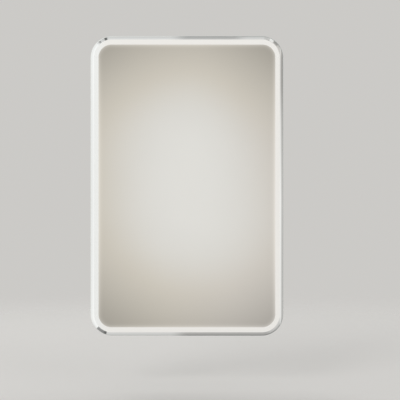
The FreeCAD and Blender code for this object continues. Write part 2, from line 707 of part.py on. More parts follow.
def frame_corner(corner):
    """A moulded corner: the profile turned through a right angle, with a tongue for each rail's channel."""
    body = new_body(f"frame_corner_{corner}", *CORNERS[corner])
    section = sketch_on(body, "YZ_Plane")
    profile = frame_section(open_channel=False)
    polygon(section, [(f"-({depth})", f"{FRAME_CORNER} - {inset}") for inset, depth in profile])
    revolve(body, section, "Y_Axis", angle=90)
    near = f"{FRAME_CORNER} - channel_from - channel_slot / 2 + tongue_play"
    far = f"{FRAME_CORNER} - channel_from + channel_slot / 2 - tongue_play"
    tongues = facing(body, f"{PLATE_FRONT} + tongue_play")
    rectangle(tongues, "-tongue_length", "tongue_root", near, far)
    pad(body, tongues, "channel_depth - 2 * tongue_play")
    tongue_down = facing(body, f"{PLATE_FRONT} + tongue_play")
    rectangle(tongue_down, near, far, "-tongue_length", "tongue_root")
    pad(body, tongue_down, "channel_depth - 2 * tongue_play")
    hole = facing(body, FLOOR_BACK)
    circle(hole, CORNER_SCREW, CORNER_SCREW, "plate_screw_radius + screw_play")
    pocket(body, hole, "channel_depth")
    return body


# ---- Light ----

def diffuser_ring():
    outer = "frame_inset + frame_wall + diffuser_play"
    inner = "frame_inset + trough_width - frame_wall - diffuser_play"
    return ring("diffuser_ring", LEDGE_FRONT, "diffuser_thick", outer, inner)


def led_bar(side):
    """An LED board in the frame of its rail, with a row of LEDs and a pair of solder joints at each end."""
    body = new_body(f"led_bar_{side}", *SIDES[side])
    outline = facing(body, FLOOR_FRONT)
    rounded_rectangle(outline, board_length(side), "board_width", "board_corner", "0", "-channel_from")
    for x in board_screws(side):
        circle(outline, x, "-channel_from", "board_screw_radius + screw_play")
    pad(body, outline, "board_thick")
    joints = facing(body, BOARD_FRONT)
    end = f"({board_length(side)} / 2 - solder_margin)"
    for across in (-1, 1):
        middle = f"(-channel_from + {across} * solder_spacing / 2)"
        low, high = f"{middle} - solder_width / 2", f"{middle} + solder_width / 2"
        rectangle(joints, f"-{end}", f"-{end} + solder_length", low, high)
        rectangle(joints, f"{end} - solder_length", end, low, high)
    pad(body, joints, "solder_height")
    if side == "left":
        plug = facing(body, BOARD_FRONT)
        inner_edge = "(-channel_from - board_width / 2)"
        rectangle(plug, "feed_z - plug_length / 2", "feed_z + plug_length / 2",
                  inner_edge, f"{inner_edge} + plug_width")
        pad(body, plug, "plug_height")
    led = facing(body, BOARD_FRONT)
    reach = f"(({led_count(side)} - 1) * led_pitch)"
    first = f"-{reach} / 2"
    rectangle(led, f"{first} - led_length / 2", f"{first} + led_length / 2",
              "-channel_from - led_width / 2", "-channel_from + led_width / 2")
    chip = pad(body, led, "led_height")
    repeat_along_x(body, chip, led_count(side), reach)
    return body


def led_bar_screws():
    form = screw("board_screw", BOARD_FRONT, "board_screw_length", "board_screw_radius", faces_wall=False)
    places = []
    for side, (outer_x, outer_z, turn) in SIDES.items():
        for along in board_screws(side):
            places.append({
                "top": (along, f"{outer_z} - channel_from", 0),
                "bottom": (along, f"{outer_z} + channel_from", 0),
                "right": (f"{outer_x} - channel_from", f"{outer_z} + {along}", 0),
                "left": (f"{outer_x} + channel_from", f"{outer_z} + {along}", 0),
            }[side])
    return group("led_bar_screws", form, places)


def led_jumpers():
    """Two-core ribbons from board to board round three corners. The row ends at the bottom left."""
    form = new_body("corner_ribbon")
    depth = f"({BOARD_FRONT} + solder_height / 2)"
    start = "(board_overlap - solder_margin)"
    line = f"({FRAME_CORNER} - channel_from)"
    spine = sketch_on(form, "XZ_Plane", depth)
    path(spine, [(start, line), (line, line), (line, start)], f"{line} - board_overlap")
    section = sketch_on(form, "YZ_Plane", start)
    rectangle(section, f"-({depth} + ribbon_thick / 2)", f"-({depth} - ribbon_thick / 2)",
              f"{line} - ribbon_width / 2", f"{line} + ribbon_width / 2")
    sweep(form, section, spine)
    return group("led_jumpers", form, [CORNERS[name] for name in ("top_left", "top_right", "bottom_right")])


# ---- Back ----

def back_plate():
    """The steel back, with two pressed beads and an opening over the wiring space."""
    body = new_body("back_plate", z=MIRROR_CENTRE)
    outline = facing(body, "wall_gap")
    inset_outline(outline, "frame_inset + frame_wall + plate_play")
    rounded_rectangle(outline, *OPENING)
    small_holes = (*COVER_SCREWS, *DRIVER_SCREWS, EARTH_POST)
    holes = [(place, "plate_screw_radius + screw_play") for place in PLATE_SCREWS]
    holes += [(place, "cover_screw_radius + screw_play") for place in small_holes]
    holes += [(place, "bumper_stem + screw_play") for place in BUMPERS]
    holes += [
        ((f"{i} * rivet_spacing", f"{FIXING_HEIGHT} + {RIVET_Z}"), "rivet_radius + screw_play") for i in RIVETS
    ]
    for (x, z), radius in holes:
        circle(outline, x, z, radius)
    pad(body, outline, "plate_thick")
    high = f"({FIXING_HEIGHT} - bead_drop)"
    low = f"(bead_rise - {HALF_FRAME_HEIGHT})"
    middle, length = f"({high} + {low}) / 2", f"({high} - {low})"
    raised = facing(body, PLATE_FRONT)
    pressed = facing(body, "wall_gap + bead_height")
    inner_length, inner_radius = f"{length} - 2 * plate_thick", "bead_width / 2 - plate_thick"
    for side in (-1, 1):
        bead_x = f"{side} * ({HALF_FRAME_WIDTH} - bead_inset)"
        slot(raised, bead_x, middle, length, "bead_width / 2", upright=True)
        slot(pressed, bead_x, middle, inner_length, inner_radius, upright=True)
    pad(body, raised, "bead_height")
    pocket(body, pressed, "bead_height")
    return body


def from_centre(places):
    """Places about the mirror's centre, as places about the origin, with no turn."""
    return [(x, f"{MIRROR_CENTRE} + {z}", 0) for x, z in places]


def back_plate_screws():
    form = screw("plate_screw", "wall_gap", "plate_screw_length", "plate_screw_radius")
    return group("back_plate_screws", form, from_centre(PLATE_SCREWS))


def access_cover():
    body = new_body("access_cover", z=MIRROR_CENTRE)
    outline = facing(body, COVER_BACK)
    rounded_rectangle(outline, "cover_width", "cover_height", "cover_corner")
    for x, z in (*COVER_SCREWS, *BLOCK_SCREWS):
        circle(outline, x, z, "cover_screw_radius + screw_play")
    circle(outline, "inlet_x", "0", "inlet_bore + inlet_wall")
    pad(body, outline, "plate_thick")
    return body


def access_cover_gasket():
    body = new_body("access_cover_gasket", z=MIRROR_CENTRE)
    outline = facing(body, COVER_FRONT)
    rounded_rectangle(outline, "cover_width", "cover_height", "cover_corner")
    rounded_rectangle(outline, *OPENING)
    for x, z in COVER_SCREWS:
        circle(outline, x, z, "cover_screw_radius + screw_play")
    pad(body, outline, "gasket_thick")
    return body


def cable_grommet():
    body = new_body("cable_grommet", x="inlet_x", z=MIRROR_CENTRE)
    hole, lip = "(inlet_bore + inlet_wall)", "(inlet_bore + inlet_wall + inlet_lip)"
    turned(body, [
        ("inlet_bore", f"{COVER_BACK} - inlet_lip_thick"),
        (hole, f"{COVER_BACK} - inlet_lip_thick"),
        (lip, f"{COVER_BACK} - inlet_lip_thick / 2"),
        (lip, COVER_BACK),
        (hole, COVER_BACK),
        (hole, COVER_FRONT),
        (lip, COVER_FRONT),
        (hole, f"{COVER_FRONT} + inlet_lip_thick"),
        ("inlet_bore", f"{COVER_FRONT} + inlet_lip_thick"),
    ])
    return body


def terminal_block():
    """A row of clamps on the access cover."""
    body = new_body("terminal_block", x="block_x", z=MIRROR_CENTRE)
    outline = facing(body, COVER_FRONT)
    rounded_rectangle(outline, "block_width", "block_height", "block_corner")
    pad(body, outline, "block_depth")
    seats = facing(body, f"{COVER_FRONT} + cover_screw_length")
    for side in (-1, 1):
        circle(seats, f"{side} * (block_width / 2 - block_screw_inset)", "0", "cover_screw_radius + screw_play")
    pocket(body, seats, "cover_screw_length")
    clamp = facing(body, f"{COVER_FRONT} + block_depth")
    circle(clamp, f"-{POLE_PITCH} * (block_poles - 1) / 2", "0", "pole_bore")
    hole = pocket(body, clamp, "pole_depth")
    repeat_along_x(body, hole, "block_poles", f"{POLE_PITCH} * (block_poles - 1)")
    return body


def small_screws(label, form, places):
    return group(label, form, from_centre(places))


def earth_post():
    """A six-sided post on the back plate that the earth lead is crimped to."""
    body = new_body("earth_post", x=EARTH_POST[0], z=f"{MIRROR_CENTRE} + {EARTH_POST[1]}")
    outline = facing(body, PLATE_FRONT)
    side, half_side, point = "earth_flats / 2", "earth_flats / 2 / sqrt(3)", "earth_flats / sqrt(3)"
    polygon(outline, [
        (side, f"-{half_side}"), (side, half_side), ("0", point),
        (f"-{side}", half_side), (f"-{side}", f"-{half_side}"), ("0", f"-{point}"),
    ])
    pad(body, outline, "earth_height")
    bore = facing(body, f"{PLATE_FRONT} + cover_screw_length")
    circle(bore, "0", "0", "cover_screw_radius + screw_play")
    pocket(body, bore, "cover_screw_length")
    return body


# ---- Driver ----

def driver_outline(sketch):
    """The driver's cross-section, in a body's YZ plane."""
    middle = f"-({PLATE_FRONT} + driver_depth / 2)"
    rounded_rectangle(sketch, "driver_depth", "driver_height", "driver_corner", x=middle)


def led_driver():
    """The driver's extruded case, with grooves along its front."""
    body = new_body("led_driver", z=f"{MIRROR_CENTRE} + driver_z")
    section = sketch_on(body, "YZ_Plane")
    driver_outline(section)
    pad(body, section, "driver_length", both_ways=True)
    grooves = facing(body, DRIVER_FRONT)
    for row in (-2, -1, 0, 1, 2):
        middle = f"({row} * driver_groove_pitch)"
        rectangle(grooves, "-driver_length / 2 - cut_margin", "driver_length / 2 + cut_margin",
                  f"{middle} - driver_groove / 2", f"{middle} + driver_groove / 2")
    pocket(body, grooves, "driver_groove_depth")
    return body


def driver_end_cap(side):
    """An end cap with a screw tab."""
    turn = {"right": 0, "left": 180}[side]
    body = new_body(f"driver_end_cap_{side}", z=f"{MIRROR_CENTRE} + driver_z", turn=turn)
    section = sketch_on(body, "YZ_Plane", "driver_length / 2")
    driver_outline(section)
    pad(body, section, "cap_thick")
    tab = facing(body, PLATE_FRONT)
    rectangle(tab, f"{DRIVER_END} - cap_thick", f"{DRIVER_END} + tab_length", "-tab_width / 2", "tab_width / 2")
    pad(body, tab, "tab_thick")
    hole = facing(body, f"{PLATE_FRONT} + tab_thick")
    circle(hole, f"{DRIVER_END} + tab_length / 2", "0", "cover_screw_radius + screw_play")
    pocket(body, hole, "tab_thick")
    return body


# ---- Switch ----

def sensor_housing():
    body = new_body("sensor_housing", *SIDES["bottom"])
    box = facing(body, f"{PLATE_FRONT} + sensor_play")
    rectangle(box, "-sensor_width / 2", "sensor_width / 2", "-(frame_wall + sensor_height)", "-frame_wall")
    pad(body, box, "channel_depth - 2 * sensor_play")
    socket = sketch_on(body, "XY_Plane", "-frame_wall")
    circle(socket, "0", f"-{SIGNAL_DEPTH}", "bezel_neck + screw_play")
    pocket(body, socket, "bezel_grip")
    return body


def sensor_bezel():
    body = new_body("sensor_bezel", *SIDES["bottom"])
    neck = sketch_on(body, "XY_Plane", "-(frame_wall + bezel_grip)")
    circle(neck, "0", f"-{SIGNAL_DEPTH}", "bezel_neck")
    circle(neck, "0", f"-{SIGNAL_DEPTH}", "lens_radius + screw_play")
    pad(body, neck, "frame_wall + bezel_grip")
    rim = sketch_on(body, "XY_Plane")
    circle(rim, "0", f"-{SIGNAL_DEPTH}", "bezel_radius")
    circle(rim, "0", f"-{SIGNAL_DEPTH}", "lens_radius + screw_play")
    face = pad(body, rim, "bezel_thick")
    outer = amount("bezel_thick")
    soften(body, face, "Chamfer", "bezel_thick / 2", lambda middle: abs(middle.z - outer) < NEAR)
    return body


def sensor_lens():
    body = new_body("sensor_lens", *SIDES["bottom"])
    outline = sketch_on(body, "XY_Plane", "-(frame_wall + bezel_grip)")
    circle(outline, "0", f"-{SIGNAL_DEPTH}", "lens_radius")
    pad(body, outline, "frame_wall + bezel_grip + bezel_thick / 2")
    return body


# ---- Leads ----

def lead(label, plane, offset, radius, route):
    body = new_body(label, z=MIRROR_CENTRE)
    round_lead(body, plane, offset, radius, route, "lead_bend")
    return body


def lead_mains():
    """From the terminal block to the driver's right end, with its level run midway between the two."""
    run = "((block_height / 2 + driver_z - driver_height / 2) / 2)"
    turn = f"({DRIVER_END} + mains_reach)"
    entry = "(driver_z + driver_entry)"
    start = (RIGHT_POLES, "block_height / 2")
    route = [start, (RIGHT_POLES, run), (turn, run), (turn, entry), (DRIVER_END, entry)]
    return lead("lead_mains", "XZ_Plane", MAINS_DEPTH, "mains_radius", route)


def lead_led():
    entry = "(driver_z + driver_entry)"
    turn = f"-({DRIVER_END} + feed_reach)"
    plug = f"-({CHANNEL_X} - board_width / 2)"
    route = [(f"-{DRIVER_END}", entry), (turn, entry), (turn, "feed_z"), (plug, "feed_z")]
    return lead("lead_led", "XZ_Plane", FEED_DEPTH, "feed_radius", route)


def lead_sensor():
    entry = "(driver_z - driver_entry)"
    low = f"({SENSOR_TOP} + signal_rise)"
    route = [(f"-{DRIVER_END}", entry), ("-signal_x", entry), ("-signal_x", low), ("0", low), ("0", SENSOR_TOP)]
    return lead("lead_sensor", "XZ_Plane", SIGNAL_DEPTH, "signal_radius", route)


def lead_demister():
    route = [
        (f"-{MAINS_DEPTH}", "-block_height / 2"),
        (f"-{MAINS_DEPTH}", DEMISTER_LEAD_Z),
        (f"-{DEMISTER_BOSS}", DEMISTER_LEAD_Z),
    ]
    return lead("lead_demister", "YZ_Plane", LEFT_POLES, "signal_radius", route)


def lead_earth():
    x, z = EARTH_POST
    route = [(RIGHT_POLES, "-block_height / 2"), (RIGHT_POLES, z), (f"{x} - earth_flats / 2", z)]
    return lead("lead_earth", "XZ_Plane", MAINS_DEPTH, "earth_radius", route)


def cable_clips():
    """Saddles that hold the switch lead's upright run on the back plate."""
    form = new_body("cable_clip")
    outer = "(signal_radius + clip_play + clip_wall)"
    foot = facing(form, PLATE_FRONT)
    rectangle(foot, "-clip_foot / 2", "clip_foot / 2", "-clip_width / 2", "clip_width / 2")
    pad(form, foot, "clip_wall")
    post = sketch_on(form, "XY_Plane")
    rectangle(post, f"-{outer}", outer, f"-{SIGNAL_DEPTH}", f"-{PLATE_FRONT}")
    pad(form, post, "clip_width", both_ways=True)
    crown = sketch_on(form, "XY_Plane")
    circle(crown, "0", f"-{SIGNAL_DEPTH}", outer)
    pad(form, crown, "clip_width", both_ways=True)
    bore = sketch_on(form, "XY_Plane")
    circle(bore, "0", f"-{SIGNAL_DEPTH}", "signal_radius + clip_play")
    pocket(form, bore, "2 * clip_width", both_ways=True)
    places = [("-signal_x", f"clip_top - {i} * clip_spacing") for i in range(3)]
    return group("cable_clips", form, from_centre(places))


# ---- Hanging ----

def rail_bends(body, bar, inner, outer):
    """Rounds a bent rail's inner and outer bends, given as pairs of depth and height."""
    def near(places):
        spots = [(-amount(depth), amount(z)) for depth, z in places]
        return lambda middle: any(math.hypot(middle.y - y, middle.z - z) < NEAR for y, z in spots)
    inner_bends = soften(body, bar, "Fillet", "rail_bend", near(inner))
    return soften(body, inner_bends, "Fillet", "rail_bend + rail_thick", near(outer))


def wall_bracket():
    """A bent strip: flange on the wall, web, and the lip that the mirror hangs on."""
    body = new_body("wall_bracket")
    lip_front = f"({LIP_BACK} + rail_thick)"
    section = sketch_on(body, "YZ_Plane")
    profile = [
        ("0", "-bracket_below"),
        ("0", WEB_TOP),
        (LIP_BACK, WEB_TOP),
        (LIP_BACK, LIP_TOP),
        (lip_front, LIP_TOP),
        (lip_front, "bracket_above"),
        ("rail_thick", "bracket_above"),
        ("rail_thick", "-bracket_below"),
    ]
    polygon(section, [(f"-({depth})", z) for depth, z in profile])
    bar = pad(body, section, "bracket_length", both_ways=True)
    inner_bends = [("rail_thick", "bracket_above"), (LIP_BACK, WEB_TOP)]
    outer_bends = [("0", WEB_TOP), (lip_front, "bracket_above")]
    rail_bends(body, bar, inner_bends, outer_bends)
    holes = facing(body, "rail_thick")
    for side in (-1, 1):
        circle(holes, f"{side} * fixing_spacing / 2", "0", "fixing_radius")
        slot(holes, f"{side} * slot_spacing / 2", "0", "slot_length", "fixing_radius")
    pocket(body, holes, "rail_thick")
    return body


def hanger_rail():
    """The bent strip on the back plate, with the hook that drops behind the wall bracket's lip."""
    body = new_body("hanger_rail")
    hook_front, flange_back = "(hook_play + rail_thick)", "(wall_gap - rail_thick)"
    web_top = f"({LIP_TOP} + rail_thick)"
    section = sketch_on(body, "YZ_Plane")
    profile = [
        ("hook_play", f"{LIP_TOP} - hook_depth"),
        ("hook_play", web_top),
        (flange_back, web_top),
        (flange_back, f"{web_top} + hanger_flange"),
        ("wall_gap", f"{web_top} + hanger_flange"),
        ("wall_gap", LIP_TOP),
        (hook_front, LIP_TOP),
        (hook_front, f"{LIP_TOP} - hook_depth"),
    ]
    polygon(section, [(f"-({depth})", z) for depth, z in profile])
    bar = pad(body, section, "hanger_length", both_ways=True)
    inner_bends = [(hook_front, LIP_TOP), (flange_back, web_top)]
    outer_bends = [("hook_play", web_top), ("wall_gap", LIP_TOP)]
    rail_bends(body, bar, inner_bends, outer_bends)
    holes = facing(body, "wall_gap")
    for i in RIVETS:
        circle(holes, f"{i} * rivet_spacing", RIVET_Z, "rivet_radius + screw_play")
    pocket(body, holes, "rail_thick")
    return body


def hanger_rivets():
    form = new_body("rivet")
    seat = "(wall_gap - rail_thick)"
    turned(form, [
        ("0", f"{seat} - rivet_head_height"),
        ("rivet_crown_radius", f"{seat} - rivet_head_height"),
        ("rivet_head_radius", seat),
        ("rivet_radius", seat),
        ("rivet_radius", PLATE_FRONT),
        ("rivet_tail_radius", PLATE_FRONT),
        ("rivet_tail_radius", f"{PLATE_FRONT} + rivet_head_height"),
        ("0", f"{PLATE_FRONT} + rivet_head_height"),
    ])
    return group("hanger_rivets", form, [(f"{i} * rivet_spacing", RIVET_Z, 0) for i in RIVETS])


def wall_bumpers():
    """Rubber feet pushed into the back plate, as tall as the wall gap."""
    form = new_body("bumper")
    turned(form, [
        ("0", "0"),
        ("bumper_radius - bumper_taper", "0"),
        ("bumper_radius", "wall_gap"),
        ("bumper_stem", "wall_gap"),
        ("bumper_stem", PLATE_FRONT),
        ("bumper_barb", PLATE_FRONT),
        ("bumper_stem", f"{PLATE_FRONT} + bumper_barb"),
        ("0", f"{PLATE_FRONT} + bumper_barb"),
    ])
    return group("wall_bumpers", form, from_centre(BUMPERS))


def build():
    """Every sub-part of the mirror."""
    flange_outer = "frame_inset + trough_width + tape_margin"
    flange_inner = "frame_inset + trough_width + flange_width - tape_margin"
    cover_screw = screw("cover_screw", COVER_BACK, "cover_screw_length", "cover_screw_radius")
    earth_screw = screw("post_screw", "wall_gap", "cover_screw_length", "cover_screw_radius")
    tab_front = f"({PLATE_FRONT} + tab_thick)"
    tab_screw = screw("tab_screw", tab_front, "2 * tab_thick", "cover_screw_radius", faces_wall=False)
    return [
        mirror_glass(),
        silver_coating(),
        ring("etched_band", FILM_BACK, "film_thick", "bevel_width", "bevel_width + band_width"),
        ring("foam_tape", FRAME_FRONT, "tape_thick", flange_outer, flange_inner),
        ring("edge_seal", FRAME_FRONT, "tape_thick", "frame_inset", "frame_inset + frame_wall"),
        demister_pad(),
        *[frame_rail(side) for side in SIDES],
        *[frame_corner(corner) for corner in CORNERS],
        diffuser_ring(),
        *[led_bar(side) for side in SIDES],
        led_bar_screws(),
        led_jumpers(),
        back_plate(),
        back_plate_screws(),
        access_cover(),
        access_cover_gasket(),
        small_screws("access_cover_screws", cover_screw, COVER_SCREWS),
        cable_grommet(),
        terminal_block(),
        small_screws("terminal_screws", cover_screw, BLOCK_SCREWS),
        led_driver(),
        driver_end_cap("left"),
        driver_end_cap("right"),
        small_screws("driver_screws", tab_screw, DRIVER_SCREWS),
        earth_post(),
        small_screws("earth_screw", earth_screw, [EARTH_POST]),
        sensor_housing(),
        sensor_bezel(),
        sensor_lens(),
        lead_mains(),
        lead_led(),
        lead_sensor(),
        lead_demister(),
        lead_earth(),
        cable_clips(),
        wall_bracket(),
        hanger_rail(),
        hanger_rivets(),
        wall_bumpers(),
    ]


def check(subparts):
    """Stops on an object that failed to build, a cut that took nothing away, or a bad shape."""
    for thing in document.Objects:
        if {"Invalid", "Error"} & set(thing.State):
            raise RuntimeError(f"{thing.Label} failed: {thing.State}")
        if thing.TypeId == "PartDesign::Pocket":
            if thing.BaseFeature.Shape.Volume - thing.Shape.Volume < LEAST_CUT:
                raise RuntimeError(f"{thing.Label} of {thing.getParentGeoFeatureGroup().Label} cuts nothing")
    for subpart in subparts:
        if subpart.Shape.isNull() or not subpart.Shape.isValid():
            raise RuntimeError(f"{subpart.Label} has a bad shape")


subparts = build()
document.recompute()
check(subparts)
os.makedirs("parts", exist_ok=True)
for subpart in subparts:
    subpart.Shape.exportStep(f"parts/{subpart.Label}.step")
    print(f"{subpart.Label}: {len(subpart.Shape.Solids)} solids, {subpart.Shape.Volume:.0f} mm3")
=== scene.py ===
import json
import math

import bmesh
import bpy
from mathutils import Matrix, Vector

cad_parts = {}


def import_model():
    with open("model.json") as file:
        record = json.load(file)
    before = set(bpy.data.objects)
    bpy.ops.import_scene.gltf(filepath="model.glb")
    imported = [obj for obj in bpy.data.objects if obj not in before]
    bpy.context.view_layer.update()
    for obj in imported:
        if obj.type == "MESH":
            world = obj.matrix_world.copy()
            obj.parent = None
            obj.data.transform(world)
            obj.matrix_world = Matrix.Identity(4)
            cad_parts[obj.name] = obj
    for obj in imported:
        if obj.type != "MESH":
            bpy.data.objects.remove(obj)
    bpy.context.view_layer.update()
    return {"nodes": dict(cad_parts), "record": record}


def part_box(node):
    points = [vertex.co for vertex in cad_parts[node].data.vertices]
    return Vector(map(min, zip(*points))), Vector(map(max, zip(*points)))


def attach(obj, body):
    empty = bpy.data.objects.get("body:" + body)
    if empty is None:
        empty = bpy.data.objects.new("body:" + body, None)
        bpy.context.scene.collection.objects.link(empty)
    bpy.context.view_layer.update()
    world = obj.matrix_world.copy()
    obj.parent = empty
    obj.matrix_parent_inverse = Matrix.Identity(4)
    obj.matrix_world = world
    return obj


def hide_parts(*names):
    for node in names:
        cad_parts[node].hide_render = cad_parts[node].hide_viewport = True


# A lighted mirror with a bevelled edge and a frosted band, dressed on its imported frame.
# Metres. +X is right and +Z up. The front faces -Y, and the back of the bracket lies in the plane Y = 0.

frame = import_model()
nodes = frame["nodes"]
UNIT = "mirror_unit"
MM = 0.001

# ---- Sizes ----

# The glass
GLASS_LOW, GLASS_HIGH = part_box("mirror_glass")
WIDTH = GLASS_HIGH.x - GLASS_LOW.x
HEIGHT = GLASS_HIGH.z - GLASS_LOW.z
CENTRE_X = (GLASS_LOW.x + GLASS_HIGH.x) / 2
CENTRE_Z = (GLASS_LOW.z + GLASS_HIGH.z) / 2
FRONT = GLASS_LOW.y
BACK = GLASS_HIGH.y
CORNER = 50 * MM
CORNER_STEPS = 24
BEVEL_WIDTH = 7.9 * MM
BEVEL_DEPTH = 1.8 * MM
BAND_WIDTH = 11.9 * MM
# How much narrower the band is along the sides than along the top and bottom
BAND_SIDE_LESS = 1.3 * MM
# How deep the arrises are, and how far the front one, outside the bevel, reaches in from the edge
ARRIS = 0.4 * MM
ARRIS_WIDTH = 1.0 * MM

# The colour of the light from inside, and its strength in the frosted band
LED_WHITE = (1.0, 0.985, 0.95)
BAND_GLOW = 0.45
# Light from the band scatters in the glass beside it: the strength of each ring, from the band inwards, and
# how wide a ring is
GLOW = (0.14, 0.075, 0.035, 0.014, 0.005)
GLOW_RING = 2.2 * MM
# The band has a painted cooler white at the left, for the daylight it catches there: where that changes, as
# shares of the width from the left edge
COOL_LEFT = (0.01, 0.10)

# Painted glow, as light that the bevel and the arris bend to the front: over their left halves, and more
# along the left side
BEVEL_GLOW = 0.20
ARRIS_GLOW = 0.36
SIDE_GLOW = 0.17
# Where these fade: across from the middle of the glass, and in from its left edge
HALF_FADE = (-42 * MM, 4 * MM)
SIDE_FADE = (10 * MM, 45 * MM)
# The bevel has painted glow at the right end of the top too: where it rises, across from the middle of the
# glass, and where it ends, down from the top edge
TOP_GLOW = 0.17
TOP_RISE = (105 * MM, 143 * MM)
TOP_FADE = (6 * MM, 11 * MM)
# The bevel also has a painted strip of light beside the band on the right, with soft edges
STRIP_GLOW = 0.18
STRIP_WIDTH = 2.6 * MM
STRIP_EDGE = 0.4 * MM

# Painted shade: how much darker the bevel gets towards its outer edge, and from how far out, in millimetres
BEVEL_FALL = 0.26
BEVEL_FALL_FROM = 0.5
# The arris has painted shade low down: how light it is there, and where that changes, up from the bottom
# edge
ARRIS_LEAST = 0.25
ARRIS_RISE = (12 * MM, 40 * MM)

# Painted glints at the bevel's corners: which corner (across, up), the angle about its centre and half the
# spread in degrees, where the glint starts and ends out from the band in millimetres, and its strength
DARK_GLINTS = (
    (-1, 1, 108.5, 2.2, 0.4, 7.0, 0.82),
    (-1, 1, 119, 15, 0.0, 7.6, 0.20),
    (-1, 1, 127.5, 1.8, 0.4, 6.6, 0.58),
    (-1, -1, 236, 11.5, -0.2, 7.4, 0.68),
    (-1, -1, 249.5, 2.0, 0.0, 7.0, 0.84),
    (1, 1, 78, 3, 1.5, 5.4, 0.12),
    (1, 1, 45, 5, 1.6, 6.6, 0.36),
    (1, -1, 305, 20, 6.0, 7.9, 0.14),
)
BRIGHT_GLINTS = ((1, 1, 60, 4, 0.6, 7.4, 0.32),)
# How softly they end: in degrees, and in millimetres to each side
GLINT_SOFTNESS = 4.0
GLINT_EDGE = 0.6

# The light boards' diodes: how far behind their tops their colour gives way to the board's
DIODE_FADE = (0.2 * MM, 0.5 * MM)

# The heater's track: how far apart its runs are, how far they swing to and fro, and over what length
TRACK_PITCH = 10 * MM
TRACK_SWING = 3 * MM
TRACK_WAVE = 12 * MM

# A crossed screw: the sizes of the cross and the crown are shares of the head's radius and height, and the
# cross narrows towards its bottom
CROSS_REACH = 0.56
CROSS_HALF_WIDTH = 0.13
CROSS_DEPTH = 0.62
CROSS_TAPER = 0.55
CROWN_FLAT = 0.70
CROWN_START = 0.35
CROWN_STEPS = 4
SCREW_SIDES = 24
# How long its point is, and how far its cross is turned from that of the screw before
SCREW_POINT = 0.8 * MM
TURN_BETWEEN_SCREWS = math.radians(137.5)
# Points nearer than this are one point, and edges that turn by this much or more stay sharp
SAME_PLACE = 0.01 * MM
SHARP_ANGLE = math.radians(35)
SCREWS = ("back_plate_screws", "access_cover_screws", "driver_screws", "earth_screw", "terminal_screws")

# The photograph: 400 pixels square, with the glass's middle and width in it
PHOTO_SIDE = 400
PHOTO_MIDDLE = (186.9, 185.9)
PHOTO_GLASS_WIDTH = 192.6
METRES_PER_PIXEL = WIDTH / PHOTO_GLASS_WIDTH
# The camera's sensor and lens, in millimetres
SENSOR = 36
LENS = 85
CAMERA_DISTANCE = LENS / SENSOR * PHOTO_SIDE * METRES_PER_PIXEL

# The stage: what the camera sees behind the mirror, and the plain light on everything
BACKDROP = (0.60, 0.59, 0.57)
DAYLIGHT = (0.60, 0.60, 0.60)
# The floor: how far below the glass it lies, its radius and colours, and where it fades as shares of that
FLOOR_BELOW = 0.12
FLOOR_RADIUS = 2.6
FLOOR_COLOUR = (0.62, 0.61, 0.59)
FLOOR_SHADE = (0.6107, 0.60085, 0.58115)
FLOOR_FADE = (0.2, 0.9)
# Each lamp's place, size and power in watts
LAMPS = {
    "key": ((-1.6, -2.2, 0.9), 1.6, 34),
    "fill": ((1.8, -1.7, 0.3), 1.8, 14),
    "rear_left": ((-1.4, 2.0, 1.0), 1.6, 24),
    "rear_right": ((1.7, 1.8, 0.6), 1.8, 16),
}

# What polished surfaces see. A direction is given as u and v: how far it goes across and up, for how far it
# goes ahead, which is taken as no less than this.
AHEAD_LEAST = 0.02
# The pool of light straight ahead: how light its middle is, its dimmest as a share of that, and where it is
POOL_LEVEL = 0.82
POOL_LEAST = 0.3
POOL_CENTRE = (-0.011, 0.018)
POOL_SPREAD = (0.0326, 0.0302)
# Its upper and lower edges are flatter than a circle's, and its corners are darker
POOL_SQUARENESS = 1.5
POOL_CORNERS = 2.1
# It is darker at its upper right and lower left: by how much on its left and right, and where that changes
POOL_TWIST = (2.0, 11.0)
POOL_TWIST_OVER = (-0.04, 0.04)
# Its tint, and that of its middle, with the shares of the full light between which they change over
POOL_TINT = (1.0, 0.934, 0.825)
POOL_MIDDLE = (1.0, 0.980, 0.940)
TINT_OVER = (0.7, 1.0)
# It is less warm at the lower right: where that changes across and up, and how much of it is left above
POOL_LOWER_RIGHT = (1.0, 0.940, 0.865)
RIGHT_OVER = (-0.06, 0.06)
LOWER_OVER = (0.04, 0.13)
LOWER_LEAST = 0.1
# Where it gives way to what lies round it
POOL_EDGE = (0.26, 0.45)
# What lies round it, at angles in degrees from the right, anticlockwise: how light it is, and how warm
SURROUND = (
    (0, 0.77, 0.04),
    (9, 0.62, 0.05),
    (13, 0.44, 0.08),
    (40, 0.60, 0.08),
    (70, 0.52, 0.06),
    (90, 0.55, 0.02),
    (140, 0.57, 0.02),
    (190, 0.57, 0.03),
    (230, 0.55, 0.04),
    (270, 0.47, 0.05),
    (286, 0.46, 0.05),
    (298, 0.59, 0.05),
    (335, 0.60, 0.04),
    (350, 0.70, 0.04),
    (360, 0.77, 0.04),
)
# Soft slanting stripes of light, far from straight ahead, which only slanting views of the mirror show:
# where the first is, how far apart they are, how they slant, where they begin, and how strong they are
STRIPE_AT = 0.86
STRIPE_SPACING = 0.90
STRIPE_SLANT = 0.5
STRIPE_EDGE = (0.72, 0.84)
STRIPE_SHARE = 0.11
# What lies behind the mirror, from low down to overhead, and where front and behind change over
BEHIND_LOW = (0.42, 0.415, 0.40)
BEHIND_HIGH = (0.86, 0.86, 0.85)
OVERHEAD = (-0.4, 0.9)
FRONT_TO_BEHIND = (-0.15, 0.05)


# ---- Node trees ----

